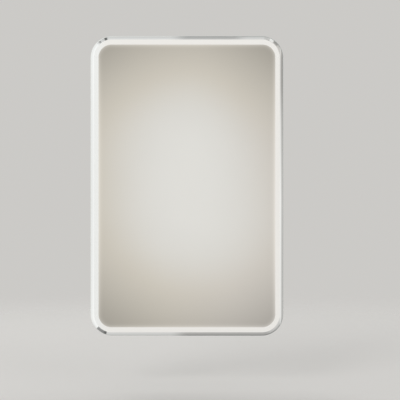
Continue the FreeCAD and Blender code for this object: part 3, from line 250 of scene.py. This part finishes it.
class Shader:
    """A material's or the world's node tree, built up with short calls."""

    def __init__(self, tree):
        self.tree = tree
        tree.nodes.clear()

    def add(self, kind, settings=None, **inputs):
        """Adds a node. An input is named, with _ for a space, or numbered, as _0."""
        node = self.tree.nodes.new(kind)
        for name, value in (settings or {}).items():
            setattr(node, name, value)
        for name, value in inputs.items():
            self.feed(node, name, value)
        return node

    def feed(self, node, name, value):
        """Sets an input to a value, or links it from another node's output."""
        socket = node.inputs[int(name[1:]) if name[0] == "_" else name.replace("_", " ")]
        if isinstance(value, bpy.types.NodeSocket):
            self.tree.links.new(value, socket)
        elif socket.type == "RGBA" and len(value) == 3:
            socket.default_value = (*value, 1)
        else:
            socket.default_value = value

    def math(self, operation, first, second=0.0):
        return self.add("ShaderNodeMath", {"operation": operation}, _0=first, _1=second).outputs[0]

    def total(self, first, *others):
        for other in others:
            first = self.math("ADD", first, other)
        return first

    def product(self, first, *others):
        for other in others:
            first = self.math("MULTIPLY", first, other)
        return first

    def apart(self, first, second):
        """How far apart two values are."""
        return self.math("ABSOLUTE", self.math("SUBTRACT", first, second))

    def turn(self, across, up):
        """The direction to a point as a share of a whole turn, anticlockwise from the right."""
        turned = self.math("DIVIDE", self.math("ARCTAN2", up, across), 2 * math.pi)
        return self.math("FRACT", self.math("ADD", turned, 1.0))

    def span(self, value, low, high, to_low=0.0, to_high=1.0):
        """Takes a value smoothly from one range to another, and holds it there."""
        inputs = {"_0": value, "_1": low, "_2": high, "_3": to_low, "_4": to_high}
        return self.add("ShaderNodeMapRange", {"interpolation_type": "SMOOTHSTEP"}, **inputs).outputs[0]

    def blend(self, share, first, second):
        """A mix of two colours."""
        return self.add("ShaderNodeMix", {"data_type": "RGBA"}, _0=share, _6=first, _7=second).outputs[2]

    def scaled(self, colour, factor):
        node = self.add("ShaderNodeVectorMath", {"operation": "SCALE"}, Vector=colour, Scale=factor)
        return node.outputs[0]

    def axes(self, vector):
        return self.add("ShaderNodeSeparateXYZ", Vector=vector).outputs

    def place(self):
        """The point on the piece, in metres in the frame."""
        return self.add("ShaderNodeTexCoord").outputs["Object"]

    def stretched(self, stretch):
        return self.add("ShaderNodeMapping", Vector=self.place(), Scale=stretch).outputs[0]

    def noise(self, scale, stretch=(1, 1, 1), detail=2.0):
        inputs = {"Vector": self.stretched(stretch), "Scale": scale, "Detail": detail}
        return self.add("ShaderNodeTexNoise", **inputs).outputs[0]

    def cells(self, scale, stretch=(1, 1, 1)):
        """A shade for each cell of a surface that is broken up into crystals or bubbles."""
        cell = self.add("ShaderNodeTexVoronoi", Vector=self.stretched(stretch), Scale=scale)
        return self.add("ShaderNodeSeparateColor", Color=cell.outputs["Color"]).outputs[0]

    def bump(self, height, strength, distance=0.2 * MM):
        return self.add("ShaderNodeBump", Strength=strength, Distance=distance, Height=height).outputs[0]


def material(name, **inputs):
    """A material of one Principled shader, with any plain inputs set on its own sockets."""
    made = bpy.data.materials.new(name)
    made.use_nodes = True
    shader = Shader(made.node_tree)
    principled = shader.add("ShaderNodeBsdfPrincipled", **inputs)
    output = shader.add("ShaderNodeOutputMaterial")
    shader.tree.links.new(principled.outputs[0], output.inputs["Surface"])
    return made, shader, principled


def mottled(name, light, dark, rough, patches=60, grain=900, bump=0.05, **inputs):
    """A surface between two colours in soft patches, with a fine grain in its gloss and relief."""
    made, shader, principled = material(name, **inputs)
    patch = shader.noise(patches)
    fine = shader.noise(grain)
    shader.feed(principled, "Base_Color", shader.blend(shader.span(patch, 0.3, 0.7), dark, light))
    shader.feed(principled, "Roughness", shader.span(fine, 0.25, 0.75, *rough))
    shader.feed(principled, "Normal", shader.bump(fine, bump))
    return made


# ---- Materials of the glass ----

def silvered_glass(name, glow=0.0):
    """The mirror's face, a hair off perfect polish, with the light that the glass scatters by the band."""
    made, shader, principled = material(name, Metallic=1.0, Emission_Color=LED_WHITE, Emission_Strength=glow)
    haze = shader.noise(14, detail=3.0)
    shader.feed(principled, "Base_Color", shader.blend(haze, (0.89, 0.895, 0.885), (0.91, 0.915, 0.905)))
    shader.feed(principled, "Roughness", shader.span(haze, 0.2, 0.8, 0.012, 0.022))
    return made


def frosted_glass():
    """The etched band, lit from behind, with a cooler white painted at the left for the daylight it catches
    there.
    """
    lit = {"Emission_Color": LED_WHITE, "Emission_Strength": BAND_GLOW}
    made, shader, principled = material("frosted_glass", **lit)
    across = shader.axes(shader.place())[0]
    rightward = shader.span(across, *(GLASS_LOW.x + share * WIDTH for share in COOL_LEFT))
    frost = shader.noise(420)
    # Painted light: the cooler tone at the left stands in for daylight
    tone = shader.blend(rightward, (0.375, 0.395, 0.395), (0.375, 0.365, 0.345))
    speckled = shader.blend(shader.span(frost, 0.2, 0.8, 0, 0.1), tone, (0.3, 0.3, 0.3))
    shader.feed(principled, "Base_Color", speckled)
    shader.feed(principled, "Roughness", shader.span(frost, 0.3, 0.7, 0.5, 0.6))
    shader.feed(principled, "Normal", shader.bump(frost, 0.03))
    return made


def corner_angle(shader, x, z, across, up):
    """The angle in degrees about the centre of one of the glass's round corners."""
    out_x = shader.math("SUBTRACT", x, CENTRE_X + across * (WIDTH / 2 - CORNER))
    out_z = shader.math("SUBTRACT", z, CENTRE_Z + up * (HEIGHT / 2 - CORNER))
    return shader.product(shader.turn(out_x, out_z), 360.0)


def out_from_band(shader, x, z):
    """How far a point of the bevel is out from the band, in millimetres."""
    squares = []
    for value, centre, reach in ((x, CENTRE_X, WIDTH / 2 - CORNER), (z, CENTRE_Z, HEIGHT / 2 - CORNER)):
        past = shader.math("MAXIMUM", shader.math("SUBTRACT", shader.apart(value, centre), reach), 0.0)
        squares.append(shader.product(past, past))
    away = shader.math("SQRT", shader.total(*squares))
    return shader.math("DIVIDE", shader.math("SUBTRACT", away, CORNER - BEVEL_WIDTH), MM)


def glints(shader, x, z, out, marks):
    """How strong the painted glints of a list are at a point of the bevel."""
    strongest = 0.0
    for across, up, angle, half, start, end, strength in marks:
        apart = shader.apart(corner_angle(shader, x, z, across, up), angle)
        there = shader.span(apart, half, half + GLINT_SOFTNESS, strength, 0.0)
        begun = shader.span(out, start - GLINT_EDGE, start + GLINT_EDGE)
        over = shader.span(out, end - GLINT_EDGE, end + GLINT_EDGE, 1.0, 0.0)
        strongest = shader.math("MAXIMUM", strongest, shader.product(there, begun, over))
    return strongest


def light_on_left(shader, x, strength):
    """Painted glow, as if the glass bends light to the front: this strength over the left half, and more
    along the left side.
    """
    half = shader.span(x, *(CENTRE_X + across for across in HALF_FADE), strength, 0.0)
    side = shader.span(x, *(GLASS_LOW.x + inward for inward in SIDE_FADE), SIDE_GLOW, 0.0)
    return shader.total(half, side)


def light_on_right(shader, x, z):
    """Painted glow on the bevel at the right end of the top, and in a strip beside the band on the right."""
    right_end = shader.span(x, *(CENTRE_X + across for across in TOP_RISE), 0.0, TOP_GLOW)
    near, far = TOP_FADE
    along_top = shader.span(z, GLASS_HIGH.z - far, GLASS_HIGH.z - near)
    band = GLASS_HIGH.x - BEVEL_WIDTH
    strip_end = band + STRIP_WIDTH
    begun = shader.span(x, band - STRIP_EDGE, band, 0.0, STRIP_GLOW)
    over = shader.span(x, strip_end - STRIP_EDGE, strip_end + STRIP_EDGE, 1.0, 0.0)
    return shader.total(shader.product(right_end, along_top), shader.product(begun, over))


def polished_bevel():
    """The bevel with painted glow, most on the left, as of light it bends to the front, and painted glints
    at its corners.
    """
    made, shader, principled = material("polished_bevel", Metallic=1.0, Emission_Color=(0.97, 1.0, 0.99))
    x, _, z = shader.axes(shader.place())
    out = out_from_band(shader, x, z)
    # Dark glints are painted reflections that darken the colour
    undimmed = shader.math("SUBTRACT", 1.0, glints(shader, x, z, out, DARK_GLINTS))
    # Painted shade towards the outer edge
    fall = shader.span(out, BEVEL_FALL_FROM, BEVEL_WIDTH / MM, 1.0, 1 - BEVEL_FALL)
    polish = shader.noise(60, detail=3.0)
    clear = shader.blend(polish, (0.90, 0.915, 0.905), (0.93, 0.94, 0.93))
    colour = shader.blend(shader.product(undimmed, fall), (0.05, 0.05, 0.045), clear)
    shader.feed(principled, "Base_Color", colour)
    shader.feed(principled, "Roughness", shader.span(polish, 0.2, 0.8, 0.02, 0.035))
    # Painted glow, with the bright glints as painted highlights
    bent = shader.total(light_on_left(shader, x, BEVEL_GLOW), light_on_right(shader, x, z))
    bright = glints(shader, x, z, out, BRIGHT_GLINTS)
    shader.feed(principled, "Emission_Strength", shader.total(shader.product(bent, undimmed), bright))
    return made


def ground_arris():
    """The narrow ground line round the outside of the bevel, with painted glow on the left as if lit from
    behind, and painted shade low down.
    """
    made, shader, principled = material("ground_arris", Emission_Color=(1.0, 0.985, 0.94))
    x, _, z = shader.axes(shader.place())
    grind = shader.noise(500, detail=3.0)
    # Painted shade low down
    lightness = shader.span(z, *(GLASS_LOW.z + up for up in ARRIS_RISE), ARRIS_LEAST, 1.0)
    pale = shader.blend(grind, (0.26, 0.29, 0.28), (0.38, 0.41, 0.395))
    shader.feed(principled, "Base_Color", shader.blend(lightness, (0.05, 0.06, 0.055), pale))
    shader.feed(principled, "Roughness", shader.span(grind, 0.2, 0.8, 0.25, 0.40))
    # Painted glow on the left
    shader.feed(principled, "Emission_Strength", light_on_left(shader, x, ARRIS_GLOW))
    return made


def ground_edge():
    """The sheet seen through its edge: green, ground finely, and glossy."""
    made, shader, principled = material("ground_edge", Coat_Weight=0.6, Coat_Roughness=0.06)
    grind = shader.noise(300, (1, 12, 1), detail=3.0)
    depth = shader.span(shader.axes(shader.place())[1], FRONT, BACK)
    green = shader.blend(depth, (0.44, 0.60, 0.54), (0.26, 0.44, 0.38))
    ground = shader.blend(shader.span(grind, 0.3, 0.7, 0, 0.4), green, (0.55, 0.70, 0.65))
    shader.feed(principled, "Base_Color", ground)
    shader.feed(principled, "Roughness", shader.span(grind, 0.2, 0.8, 0.14, 0.28))
    return made


def backing_paint(name="backing_paint"):
    return mottled(name, (0.33, 0.35, 0.35), (0.27, 0.29, 0.295), (0.42, 0.55), patches=25, grain=500)


# ---- Materials of the nodes ----

def frosted_back():
    return mottled("frosted_back", (0.80, 0.81, 0.80), (0.74, 0.75, 0.745), (0.45, 0.6), grain=1200)


def brushed_aluminium(name, along):
    """Satin anodised extrusion, with fine die lines along its length, which is axis X or Z."""
    made, shader, principled = material(name, Metallic=1.0)
    stretch = (0.02, 1, 1) if along == "X" else (1, 1, 0.02)
    lines = shader.noise(1500, stretch, detail=3.0)
    cloud = shader.noise(20)
    lined = shader.blend(shader.span(lines, 0.3, 0.7), (0.66, 0.66, 0.655), (0.76, 0.76, 0.755))
    shader.feed(principled, "Base_Color", lined)
    shader.feed(principled, "Roughness", shader.span(cloud, 0.2, 0.8, 0.34, 0.44))
    shader.feed(principled, "Normal", shader.bump(lines, 0.05, 0.1 * MM))
    return made


def galvanised_steel():
    """Hot-dipped zinc: a mosaic of crystals, each with its own grey and gloss."""
    made, shader, principled = material("galvanised_steel", Metallic=0.9)
    crystal = shader.cells(170, (1, 1, 0.7))
    small = shader.cells(520)
    shade = shader.total(shader.product(crystal, 0.75), shader.product(small, 0.25))
    shader.feed(principled, "Base_Color", shader.blend(shade, (0.46, 0.47, 0.48), (0.66, 0.67, 0.67)))
    shader.feed(principled, "Roughness", shader.span(shade, 0.1, 0.9, 0.30, 0.48))
    shader.feed(principled, "Normal", shader.bump(shader.noise(700), 0.06, 0.1 * MM))
    return made


def powder_coat():
    """White powder coat with an orange peel skin, a little dusty low down."""
    made, shader, principled = material("powder_coat")
    peel = shader.noise(1300)
    height = shader.axes(shader.place())[2]
    low_down = shader.span(height, GLASS_LOW.z, CENTRE_Z, 1.0, 0.0)
    dust = shader.product(shader.span(shader.noise(9, detail=4.0), 0.42, 0.68), low_down, 0.55)
    clean = shader.blend(shader.noise(30), (0.77, 0.77, 0.76), (0.80, 0.80, 0.79))
    shader.feed(principled, "Base_Color", shader.blend(dust, clean, (0.66, 0.655, 0.64)))
    shader.feed(principled, "Roughness", shader.span(peel, 0.25, 0.75, 0.38, 0.50))
    shader.feed(principled, "Normal", shader.bump(peel, 0.10))
    return made


def moulded_nylon(name, light, dark):
    """A moulded plastic with the spark-eroded grain of its tool."""
    return mottled(name, light, dark, (0.42, 0.56), patches=45, grain=2200, bump=0.10)


def closed_foam():
    made, shader, principled = material("black_foam", Roughness=0.85)
    bubbles = shader.cells(1600)
    colour = shader.blend(bubbles, (0.022, 0.022, 0.024), (0.045, 0.045, 0.047))
    shader.feed(principled, "Base_Color", colour)
    shader.feed(principled, "Normal", shader.bump(bubbles, 0.35))
    return made


def plated(name, light, dark, rough, **settings):
    """Bright metal on a small part."""
    return mottled(name, light, dark, rough, Metallic=1.0, **settings)


def zinc_plate():
    light, dark = (0.78, 0.79, 0.80), (0.66, 0.68, 0.70)
    return plated("zinc_plate", light, dark, (0.20, 0.34), patches=350, bump=0.03)


def brass():
    return plated("brass", (0.80, 0.62, 0.30), (0.70, 0.52, 0.24), (0.22, 0.36), patches=300)


def rivet_aluminium():
    return plated("rivet_aluminium", (0.78, 0.78, 0.78), (0.68, 0.68, 0.69), (0.28, 0.42), patches=400)


def black_rubber():
    return mottled("black_rubber", (0.040, 0.040, 0.041), (0.026, 0.026, 0.027), (0.55, 0.72))


def cable_sleeve():
    light, dark = (0.78, 0.78, 0.76), (0.70, 0.70, 0.68)
    return mottled("cable_sleeve", light, dark, (0.38, 0.48), patches=80, bump=0.04)


def opal_acrylic():
    light, dark = (0.86, 0.86, 0.85), (0.83, 0.83, 0.82)
    return mottled("opal_acrylic", light, dark, (0.16, 0.24), patches=12, bump=0.01)


def dark_lens():
    light, dark = (0.03, 0.025, 0.03), (0.018, 0.014, 0.018)
    return mottled("dark_lens", light, dark, (0.06, 0.12), patches=90, bump=0.0)


def led_board():
    """White solder mask. The diodes stand proud of the board, and their tops are yellow phosphor."""
    made, shader, principled = material("led_board")
    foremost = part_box("led_bar_top")[0].y
    depth = shader.axes(shader.place())[1]
    diode = shader.span(depth, *(foremost + behind for behind in DIODE_FADE), 1.0, 0.0)
    mask = shader.blend(shader.noise(250), (0.76, 0.76, 0.74), (0.82, 0.82, 0.80))
    shader.feed(principled, "Base_Color", shader.blend(diode, mask, (0.86, 0.72, 0.20)))
    shader.feed(principled, "Roughness", shader.span(diode, 0.0, 1.0, 0.35, 0.55))
    return made


def heater_film():
    """Clear film over a printed track that runs to and fro."""
    made, shader, principled = material("heater_film")
    x, _, z = shader.axes(shader.place())
    swing = shader.product(shader.math("SINE", shader.product(z, 2 * math.pi / TRACK_WAVE)), TRACK_SWING)
    runs = shader.math("SINE", shader.product(shader.total(x, swing), 2 * math.pi / TRACK_PITCH))
    track = shader.span(runs, 0.55, 0.75)
    film = shader.blend(shader.noise(40), (0.66, 0.36, 0.13), (0.74, 0.42, 0.16))
    shader.feed(principled, "Base_Color", shader.blend(track, film, (0.34, 0.29, 0.26)))
    shader.feed(principled, "Roughness", shader.span(track, 0.0, 1.0, 0.22, 0.5))
    return made


FINISHES = {
    "silvering": backing_paint,
    "etched_glass": frosted_back,
    "black_foam": closed_foam,
    "anodised_frame": lambda: brushed_aluminium("aluminium_across", "X"),
    "grey_nylon": lambda: moulded_nylon("grey_nylon", (0.46, 0.465, 0.47), (0.41, 0.415, 0.42)),
    "opal_acrylic": opal_acrylic,
    "white_board": led_board,
    "zinc_screws": zinc_plate,
    "white_wire": cable_sleeve,
    "coated_steel": powder_coat,
    "black_rubber": black_rubber,
    "white_nylon": lambda: moulded_nylon("white_nylon", (0.80, 0.79, 0.76), (0.74, 0.73, 0.70)),
    "driver_case": lambda: brushed_aluminium("driver_aluminium", "X"),
    "driver_caps": lambda: moulded_nylon("black_nylon", (0.055, 0.055, 0.057), (0.035, 0.035, 0.036)),
    "brass": brass,
    "heater_film": heater_film,
    "switch_plastic": lambda: moulded_nylon("switch_plastic", (0.050, 0.050, 0.054), (0.032, 0.032, 0.036)),
    "switch_lens": dark_lens,
    "galvanised": galvanised_steel,
    "rivet_metal": rivet_aluminium,
}


def dress(node, made):
    """Gives a node that keeps its own shape its finish."""
    for slot in nodes[node].material_slots:
        slot.material = made


def dress_nodes():
    """Each node takes the finish of its slot in the record. The upright rails' lines run up, not across."""
    finishes = {slot: make() for slot, make in FINISHES.items()}
    upright = brushed_aluminium("aluminium_upright", "Z")
    for row in frame["record"]["subparts"]:
        if row["material_slot"] in finishes:
            dress(row["node"], finishes[row["material_slot"]])
    for node in ("frame_rail_left", "frame_rail_right"):
        dress(node, upright)
    return finishes


# ---- Pieces ----

def new_piece(name, form, materials):
    """A piece of the mirror unit, from a bmesh that it uses up."""
    mesh = bpy.data.meshes.new(name)
    for made in materials:
        mesh.materials.append(made)
    form.to_mesh(mesh)
    form.free()
    piece = bpy.data.objects.new(name, mesh)
    bpy.context.scene.collection.objects.link(piece)
    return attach(piece, UNIT)


def joined(form, near, far):
    """The faces between two rings of as many points each."""
    faces = []
    for i in range(len(near)):
        after = (i + 1) % len(near)
        faces.append(form.faces.new((near[i], near[after], far[after], far[i])))
    return faces


def ring_edges(form, ring):
    return [form.edges.get((a, b)) or form.edges.new((a, b)) for a, b in zip(ring, ring[1:] + ring[:1])]


def glass_outline(inset):
    """Points round the glass at an inset from its edge, anticlockwise seen from the front. From the band's
    inner edge inwards, the inset is less at the sides."""
    radius = CORNER - inset
    side_less = BAND_SIDE_LESS if inset > BEVEL_WIDTH else 0.0
    reach_x = WIDTH / 2 - CORNER + side_less
    reach_z = HEIGHT / 2 - CORNER
    points = []
    for quarter, (across, up) in enumerate(((1, 1), (-1, 1), (-1, -1), (1, -1))):
        for step in range(CORNER_STEPS + 1):
            turn = (quarter + step / CORNER_STEPS) * math.pi / 2
            x = CENTRE_X + across * reach_x + radius * math.cos(turn)
            z = CENTRE_Z + up * reach_z + radius * math.sin(turn)
            points.append((x, z))
    return points


def glass_rings():
    """Each ring's inset from the edge of the glass, its depth, and the zone from there to the next ring."""
    bevel_foot = FRONT + BEVEL_DEPTH
    band_end = BEVEL_WIDTH + BAND_WIDTH
    rings = [
        (ARRIS, BACK, "edge"),
        (0, BACK - ARRIS, "edge"),
        (0, bevel_foot + ARRIS, "arris"),
        (ARRIS_WIDTH, bevel_foot, "bevel"),
        (BEVEL_WIDTH, FRONT, "band"),
    ]
    for step in range(len(GLOW)):
        rings.append((band_end + step * GLOW_RING, FRONT, f"glow_{step}"))
    rings.append((band_end + len(GLOW) * GLOW_RING, FRONT, "middle"))
    return rings


def glass_finishes():
    """The material of each zone of the glass."""
    finishes = {
        "edge": ground_edge(),
        "arris": ground_arris(),
        "bevel": polished_bevel(),
        "band": frosted_glass(),
    }
    for step, strength in enumerate(GLOW):
        finishes[f"glow_{step}"] = silvered_glass(f"silvered_glow_{step}", strength)
    finishes["middle"] = silvered_glass("silvered_glass")
    finishes["back"] = backing_paint("backing_paint_edge")
    return finishes


def glass_sheet():
    """The glass in rings: from the edge of its painted back, round the ground edge, up the bevel, over the
    frosted band and the glow beside it, to the silvered middle."""
    rings = glass_rings()
    finishes = glass_finishes()
    order = list(finishes)
    form = bmesh.new()
    rows = [[form.verts.new((x, y, z)) for x, z in glass_outline(inset)] for inset, y, _ in rings]
    for (_, _, zone), near, far in zip(rings, rows, rows[1:]):
        for face in joined(form, near, far):
            face.material_index = order.index(zone)
            face.smooth = zone in ("edge", "arris", "bevel")
    form.faces.new(rows[-1]).material_index = order.index("middle")
    form.faces.new(reversed(rows[0])).material_index = order.index("back")
    for row in rows:
        for edge in ring_edges(form, row):
            edge.smooth = False
    bmesh.ops.recalc_face_normals(form, faces=form.faces)
    sheet = new_piece("glass_sheet", form, finishes.values())
    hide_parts("mirror_glass")


def solids_of(node):
    """The separate solids of a node, each as its points, from left to right and low to high."""
    form = bmesh.new()
    form.from_mesh(nodes[node].data)
    bmesh.ops.remove_doubles(form, verts=form.verts, dist=SAME_PLACE)
    unseen = set(form.verts)
    solids = []
    while unseen:
        reached = [unseen.pop()]
        points = []
        while reached:
            vert = reached.pop()
            points.append(vert.co.copy())
            linked = [edge.other_vert(vert) for edge in vert.link_edges]
            reached += [other for other in linked if other in unseen]
            unseen.difference_update(linked)
        solids.append(points)
    form.free()
    return sorted(solids, key=lambda points: [round(min(p[axis] for p in points), 5) for axis in (0, 2)])


def revolved(form, x, z, profile):
    """Rings of points round an axis along Y, for each radius and depth of a profile, joined by faces."""
    turns = [step * 2 * math.pi / SCREW_SIDES for step in range(SCREW_SIDES)]
    rows = []
    for radius, y in profile:
        points = [(x + radius * math.cos(turn), y, z + radius * math.sin(turn)) for turn in turns]
        rows.append([form.verts.new(point) for point in points])
    for near, far in zip(rows, rows[1:]):
        joined(form, near, far)
    return rows


def cross_outline(reach, half, turn):
    """The twelve corners of a cross, turned about its middle."""
    quarter = ((reach, -half), (reach, half), (half, half))
    points = []
    for arm in range(4):
        angle = turn + arm * math.pi / 2
        cos, sin = math.cos(angle), math.sin(angle)
        points += [(a * cos - b * sin, a * sin + b * cos) for a, b in quarter]
    return points


def screw_profile(tip, seat, top, shank, radius):
    """A screw's radii and depths, from its point over the shank and head to the flat of the crown."""
    profile = [(shank / 2, tip), (shank, tip + SCREW_POINT), (shank, seat), (radius, seat)]
    for step in range(CROWN_STEPS + 1):
        angle = step / CROWN_STEPS * math.pi / 2
        out = CROWN_FLAT + (1 - CROWN_FLAT) * math.cos(angle)
        up = CROWN_START + (1 - CROWN_START) * math.sin(angle)
        profile.append((radius * out, seat + (top - seat) * up))
    return profile


def add_crossed_screw(form, points, turn):
    """A pan head screw with a cross in its head, in the place of a plain one. Its head faces back."""
    x = (min(p.x for p in points) + max(p.x for p in points)) / 2
    z = (min(p.z for p in points) + max(p.z for p in points)) / 2
    tip, top = min(p.y for p in points), max(p.y for p in points)
    out = [(math.hypot(p.x - x, p.z - z), p.y) for p in points]
    radius = max(r for r, _ in out)
    seat = min(y for r, y in out if r > radius - SAME_PLACE)
    shank = max(r for r, y in out if y < seat - SAME_PLACE)
    rows = revolved(form, x, z, screw_profile(tip, seat, top, shank, radius))
    form.faces.new(reversed(rows[0]))
    outline = cross_outline(CROSS_REACH * radius, CROSS_HALF_WIDTH * radius, turn)
    deep = top - CROSS_DEPTH * (top - seat)
    mouth = [form.verts.new((x + a, top, z + b)) for a, b in outline]
    bottom = [form.verts.new((x + a * CROSS_TAPER, deep, z + b * CROSS_TAPER)) for a, b in outline]
    rims = ring_edges(form, rows[-1]) + ring_edges(form, mouth)
    bmesh.ops.triangle_fill(form, use_beauty=True, edges=rims)
    joined(form, mouth, bottom)
    form.faces.new(bottom)


def crossed_screws(node, finish):
    """Stands for a node of plain screws."""
    form = bmesh.new()
    for index, points in enumerate(solids_of(node)):
        add_crossed_screw(form, points, index * TURN_BETWEEN_SCREWS)
    bmesh.ops.recalc_face_normals(form, faces=form.faces)
    for face in form.faces:
        face.smooth = True
    for edge in form.edges:
        edge.smooth = edge.calc_face_angle(0.0) < SHARP_ANGLE
    screws = new_piece(f"{node}_crossed", form, [finish])
    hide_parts(node)


# ---- Stage ----

def squared_offset(shader, value, centre, spread):
    """How far a value is from a centre, squared, over a spread."""
    offset = shader.math("SUBTRACT", value, centre)
    return shader.math("DIVIDE", shader.product(offset, offset), spread)


def pool(shader, u, v):
    """The colour of the pool of light in a direction."""
    sideways = squared_offset(shader, u, POOL_CENTRE[0], POOL_SPREAD[0])
    upward = squared_offset(shader, v, POOL_CENTRE[1], POOL_SPREAD[1])
    upward = shader.math("POWER", upward, POOL_SQUARENESS)
    corners = shader.product(sideways, upward, POOL_CORNERS)
    twist = shader.product(u, v, shader.span(u, *POOL_TWIST_OVER, *POOL_TWIST))
    away = shader.total(sideways, upward, corners, twist)
    share = shader.math("EXPONENT", shader.product(away, -1.0))
    light = shader.total(shader.product(share, POOL_LEVEL * (1 - POOL_LEAST)), POOL_LEVEL * POOL_LEAST)
    lower = shader.span(v, *LOWER_OVER, 1.0, LOWER_LEAST)
    edge = shader.blend(shader.product(shader.span(u, *RIGHT_OVER), lower), POOL_TINT, POOL_LOWER_RIGHT)
    return shader.scaled(shader.blend(shader.span(share, *TINT_OVER), edge, POOL_MIDDLE), light)


def surround(shader, u, v):
    """The colour of what lies round the pool in a direction, with its stripes."""
    ring = shader.add("ShaderNodeValToRGB", Fac=shader.turn(u, v))
    ramp = ring.color_ramp.elements
    # A new ramp already has two elements
    for _ in SURROUND[2:]:
        ramp.new(0.5)
    for element, (angle, level, warmth) in zip(ramp, SURROUND):
        element.position = angle / 360
        element.color = (level, level * (1 - warmth / 2), level * (1 - warmth), 1)
    across, up = shader.math("ABSOLUTE", u), shader.math("ABSOLUTE", v)
    slant = shader.total(across, shader.product(up, STRIPE_SLANT))
    waves = shader.product(shader.math("SUBTRACT", slant, STRIPE_AT), 2 * math.pi / STRIPE_SPACING)
    height = shader.span(slant, *STRIPE_EDGE, 0.0, STRIPE_SHARE)
    stripes = shader.product(shader.math("COSINE", waves), height)
    return shader.scaled(ring.outputs[0], shader.total(stripes, 1.0))


def reflected(shader, x, y, z):
    """The colour that polished surfaces see in a direction."""
    ahead = shader.math("MAXIMUM", shader.product(y, -1.0), AHEAD_LEAST)
    u, v = shader.math("DIVIDE", x, ahead), shader.math("DIVIDE", z, ahead)
    away = shader.math("SQRT", shader.total(shader.product(u, u), shader.product(v, v)))
    front = shader.blend(shader.span(away, *POOL_EDGE), pool(shader, u, v), surround(shader, u, v))
    behind = shader.blend(shader.span(z, *OVERHEAD), BEHIND_LOW, BEHIND_HIGH)
    return shader.blend(shader.span(y, *FRONT_TO_BEHIND), front, behind)


def world():
    """The camera sees a plain pale backdrop, diffuse light is plain too, and polished surfaces see soft
    surroundings with a bright pool of light straight ahead of the mirror."""
    made = bpy.data.worlds.new("studio")
    made.use_nodes = True
    bpy.context.scene.world = made
    shader = Shader(made.node_tree)
    direction = shader.axes(shader.add("ShaderNodeTexCoord").outputs["Generated"])
    path = shader.add("ShaderNodeLightPath").outputs
    lit = shader.blend(path["Is Camera Ray"], DAYLIGHT, BACKDROP)
    colour = shader.blend(path["Is Glossy Ray"], lit, reflected(shader, *direction))
    background = shader.add("ShaderNodeBackground", Color=colour, Strength=1.0)
    output = shader.add("ShaderNodeOutputWorld")
    shader.tree.links.new(background.outputs[0], output.inputs["Surface"])


def floor():
    """A pale floor that fades into the backdrop, and isn't there from below."""
    form = bmesh.new()
    bmesh.ops.create_circle(form, cap_ends=True, segments=96, radius=FLOOR_RADIUS)
    mesh = bpy.data.meshes.new("floor")
    form.to_mesh(mesh)
    form.free()
    made, shader, principled = material("floor", Roughness=0.8, Specular_IOR_Level=0.2)
    grain = shader.noise(35, detail=3.0)
    shader.feed(principled, "Base_Color", shader.blend(grain, FLOOR_SHADE, FLOOR_COLOUR))
    away = shader.add("ShaderNodeVectorMath", {"operation": "LENGTH"}, _0=shader.place()).outputs["Value"]
    fade = shader.span(away, *(share * FLOOR_RADIUS for share in FLOOR_FADE), 1.0, 0.0)
    below = shader.add("ShaderNodeNewGeometry").outputs["Backfacing"]
    shader.feed(principled, "Alpha", shader.product(fade, shader.math("SUBTRACT", 1.0, below)))
    mesh.materials.append(made)
    piece = bpy.data.objects.new("floor", mesh)
    piece.location = (CENTRE_X, BACK, GLASS_LOW.z - FLOOR_BELOW)
    piece.visible_glossy = False
    bpy.context.scene.collection.objects.link(piece)


def lamp(name, place, size, power):
    """A soft square lamp that points at the mirror, and that polished surfaces don't see."""
    light = bpy.data.lights.new(name, "AREA")
    light.size = size
    light.energy = power
    piece = bpy.data.objects.new(name, light)
    piece.location = place
    aim = Vector((CENTRE_X, BACK, CENTRE_Z)) - Vector(place)
    piece.rotation_euler = aim.to_track_quat("-Z", "Y").to_euler()
    piece.visible_glossy = False
    bpy.context.scene.collection.objects.link(piece)


def camera():
    """Straight at the front, as the photograph has it, with the glass where it is in the photograph."""
    lens = bpy.data.cameras.new("camera")
    lens.sensor_width = SENSOR
    lens.lens = LENS
    piece = bpy.data.objects.new("camera", lens)
    right = (PHOTO_SIDE / 2 - PHOTO_MIDDLE[0]) * METRES_PER_PIXEL
    down = (PHOTO_SIDE / 2 - PHOTO_MIDDLE[1]) * METRES_PER_PIXEL
    piece.location = (CENTRE_X + right, FRONT - CAMERA_DISTANCE, CENTRE_Z - down)
    piece.rotation_euler = (math.pi / 2, 0, 0)
    bpy.context.scene.collection.objects.link(piece)
    bpy.context.scene.camera = piece


camera()
finishes = dress_nodes()
glass_sheet()
for node in SCREWS:
    crossed_screws(node, finishes["zinc_screws"])
world()
floor()
for name, (place, size, power) in LAMPS.items():
    lamp(name, place, size, power)
bpy.context.scene.view_settings.view_transform = "Standard"
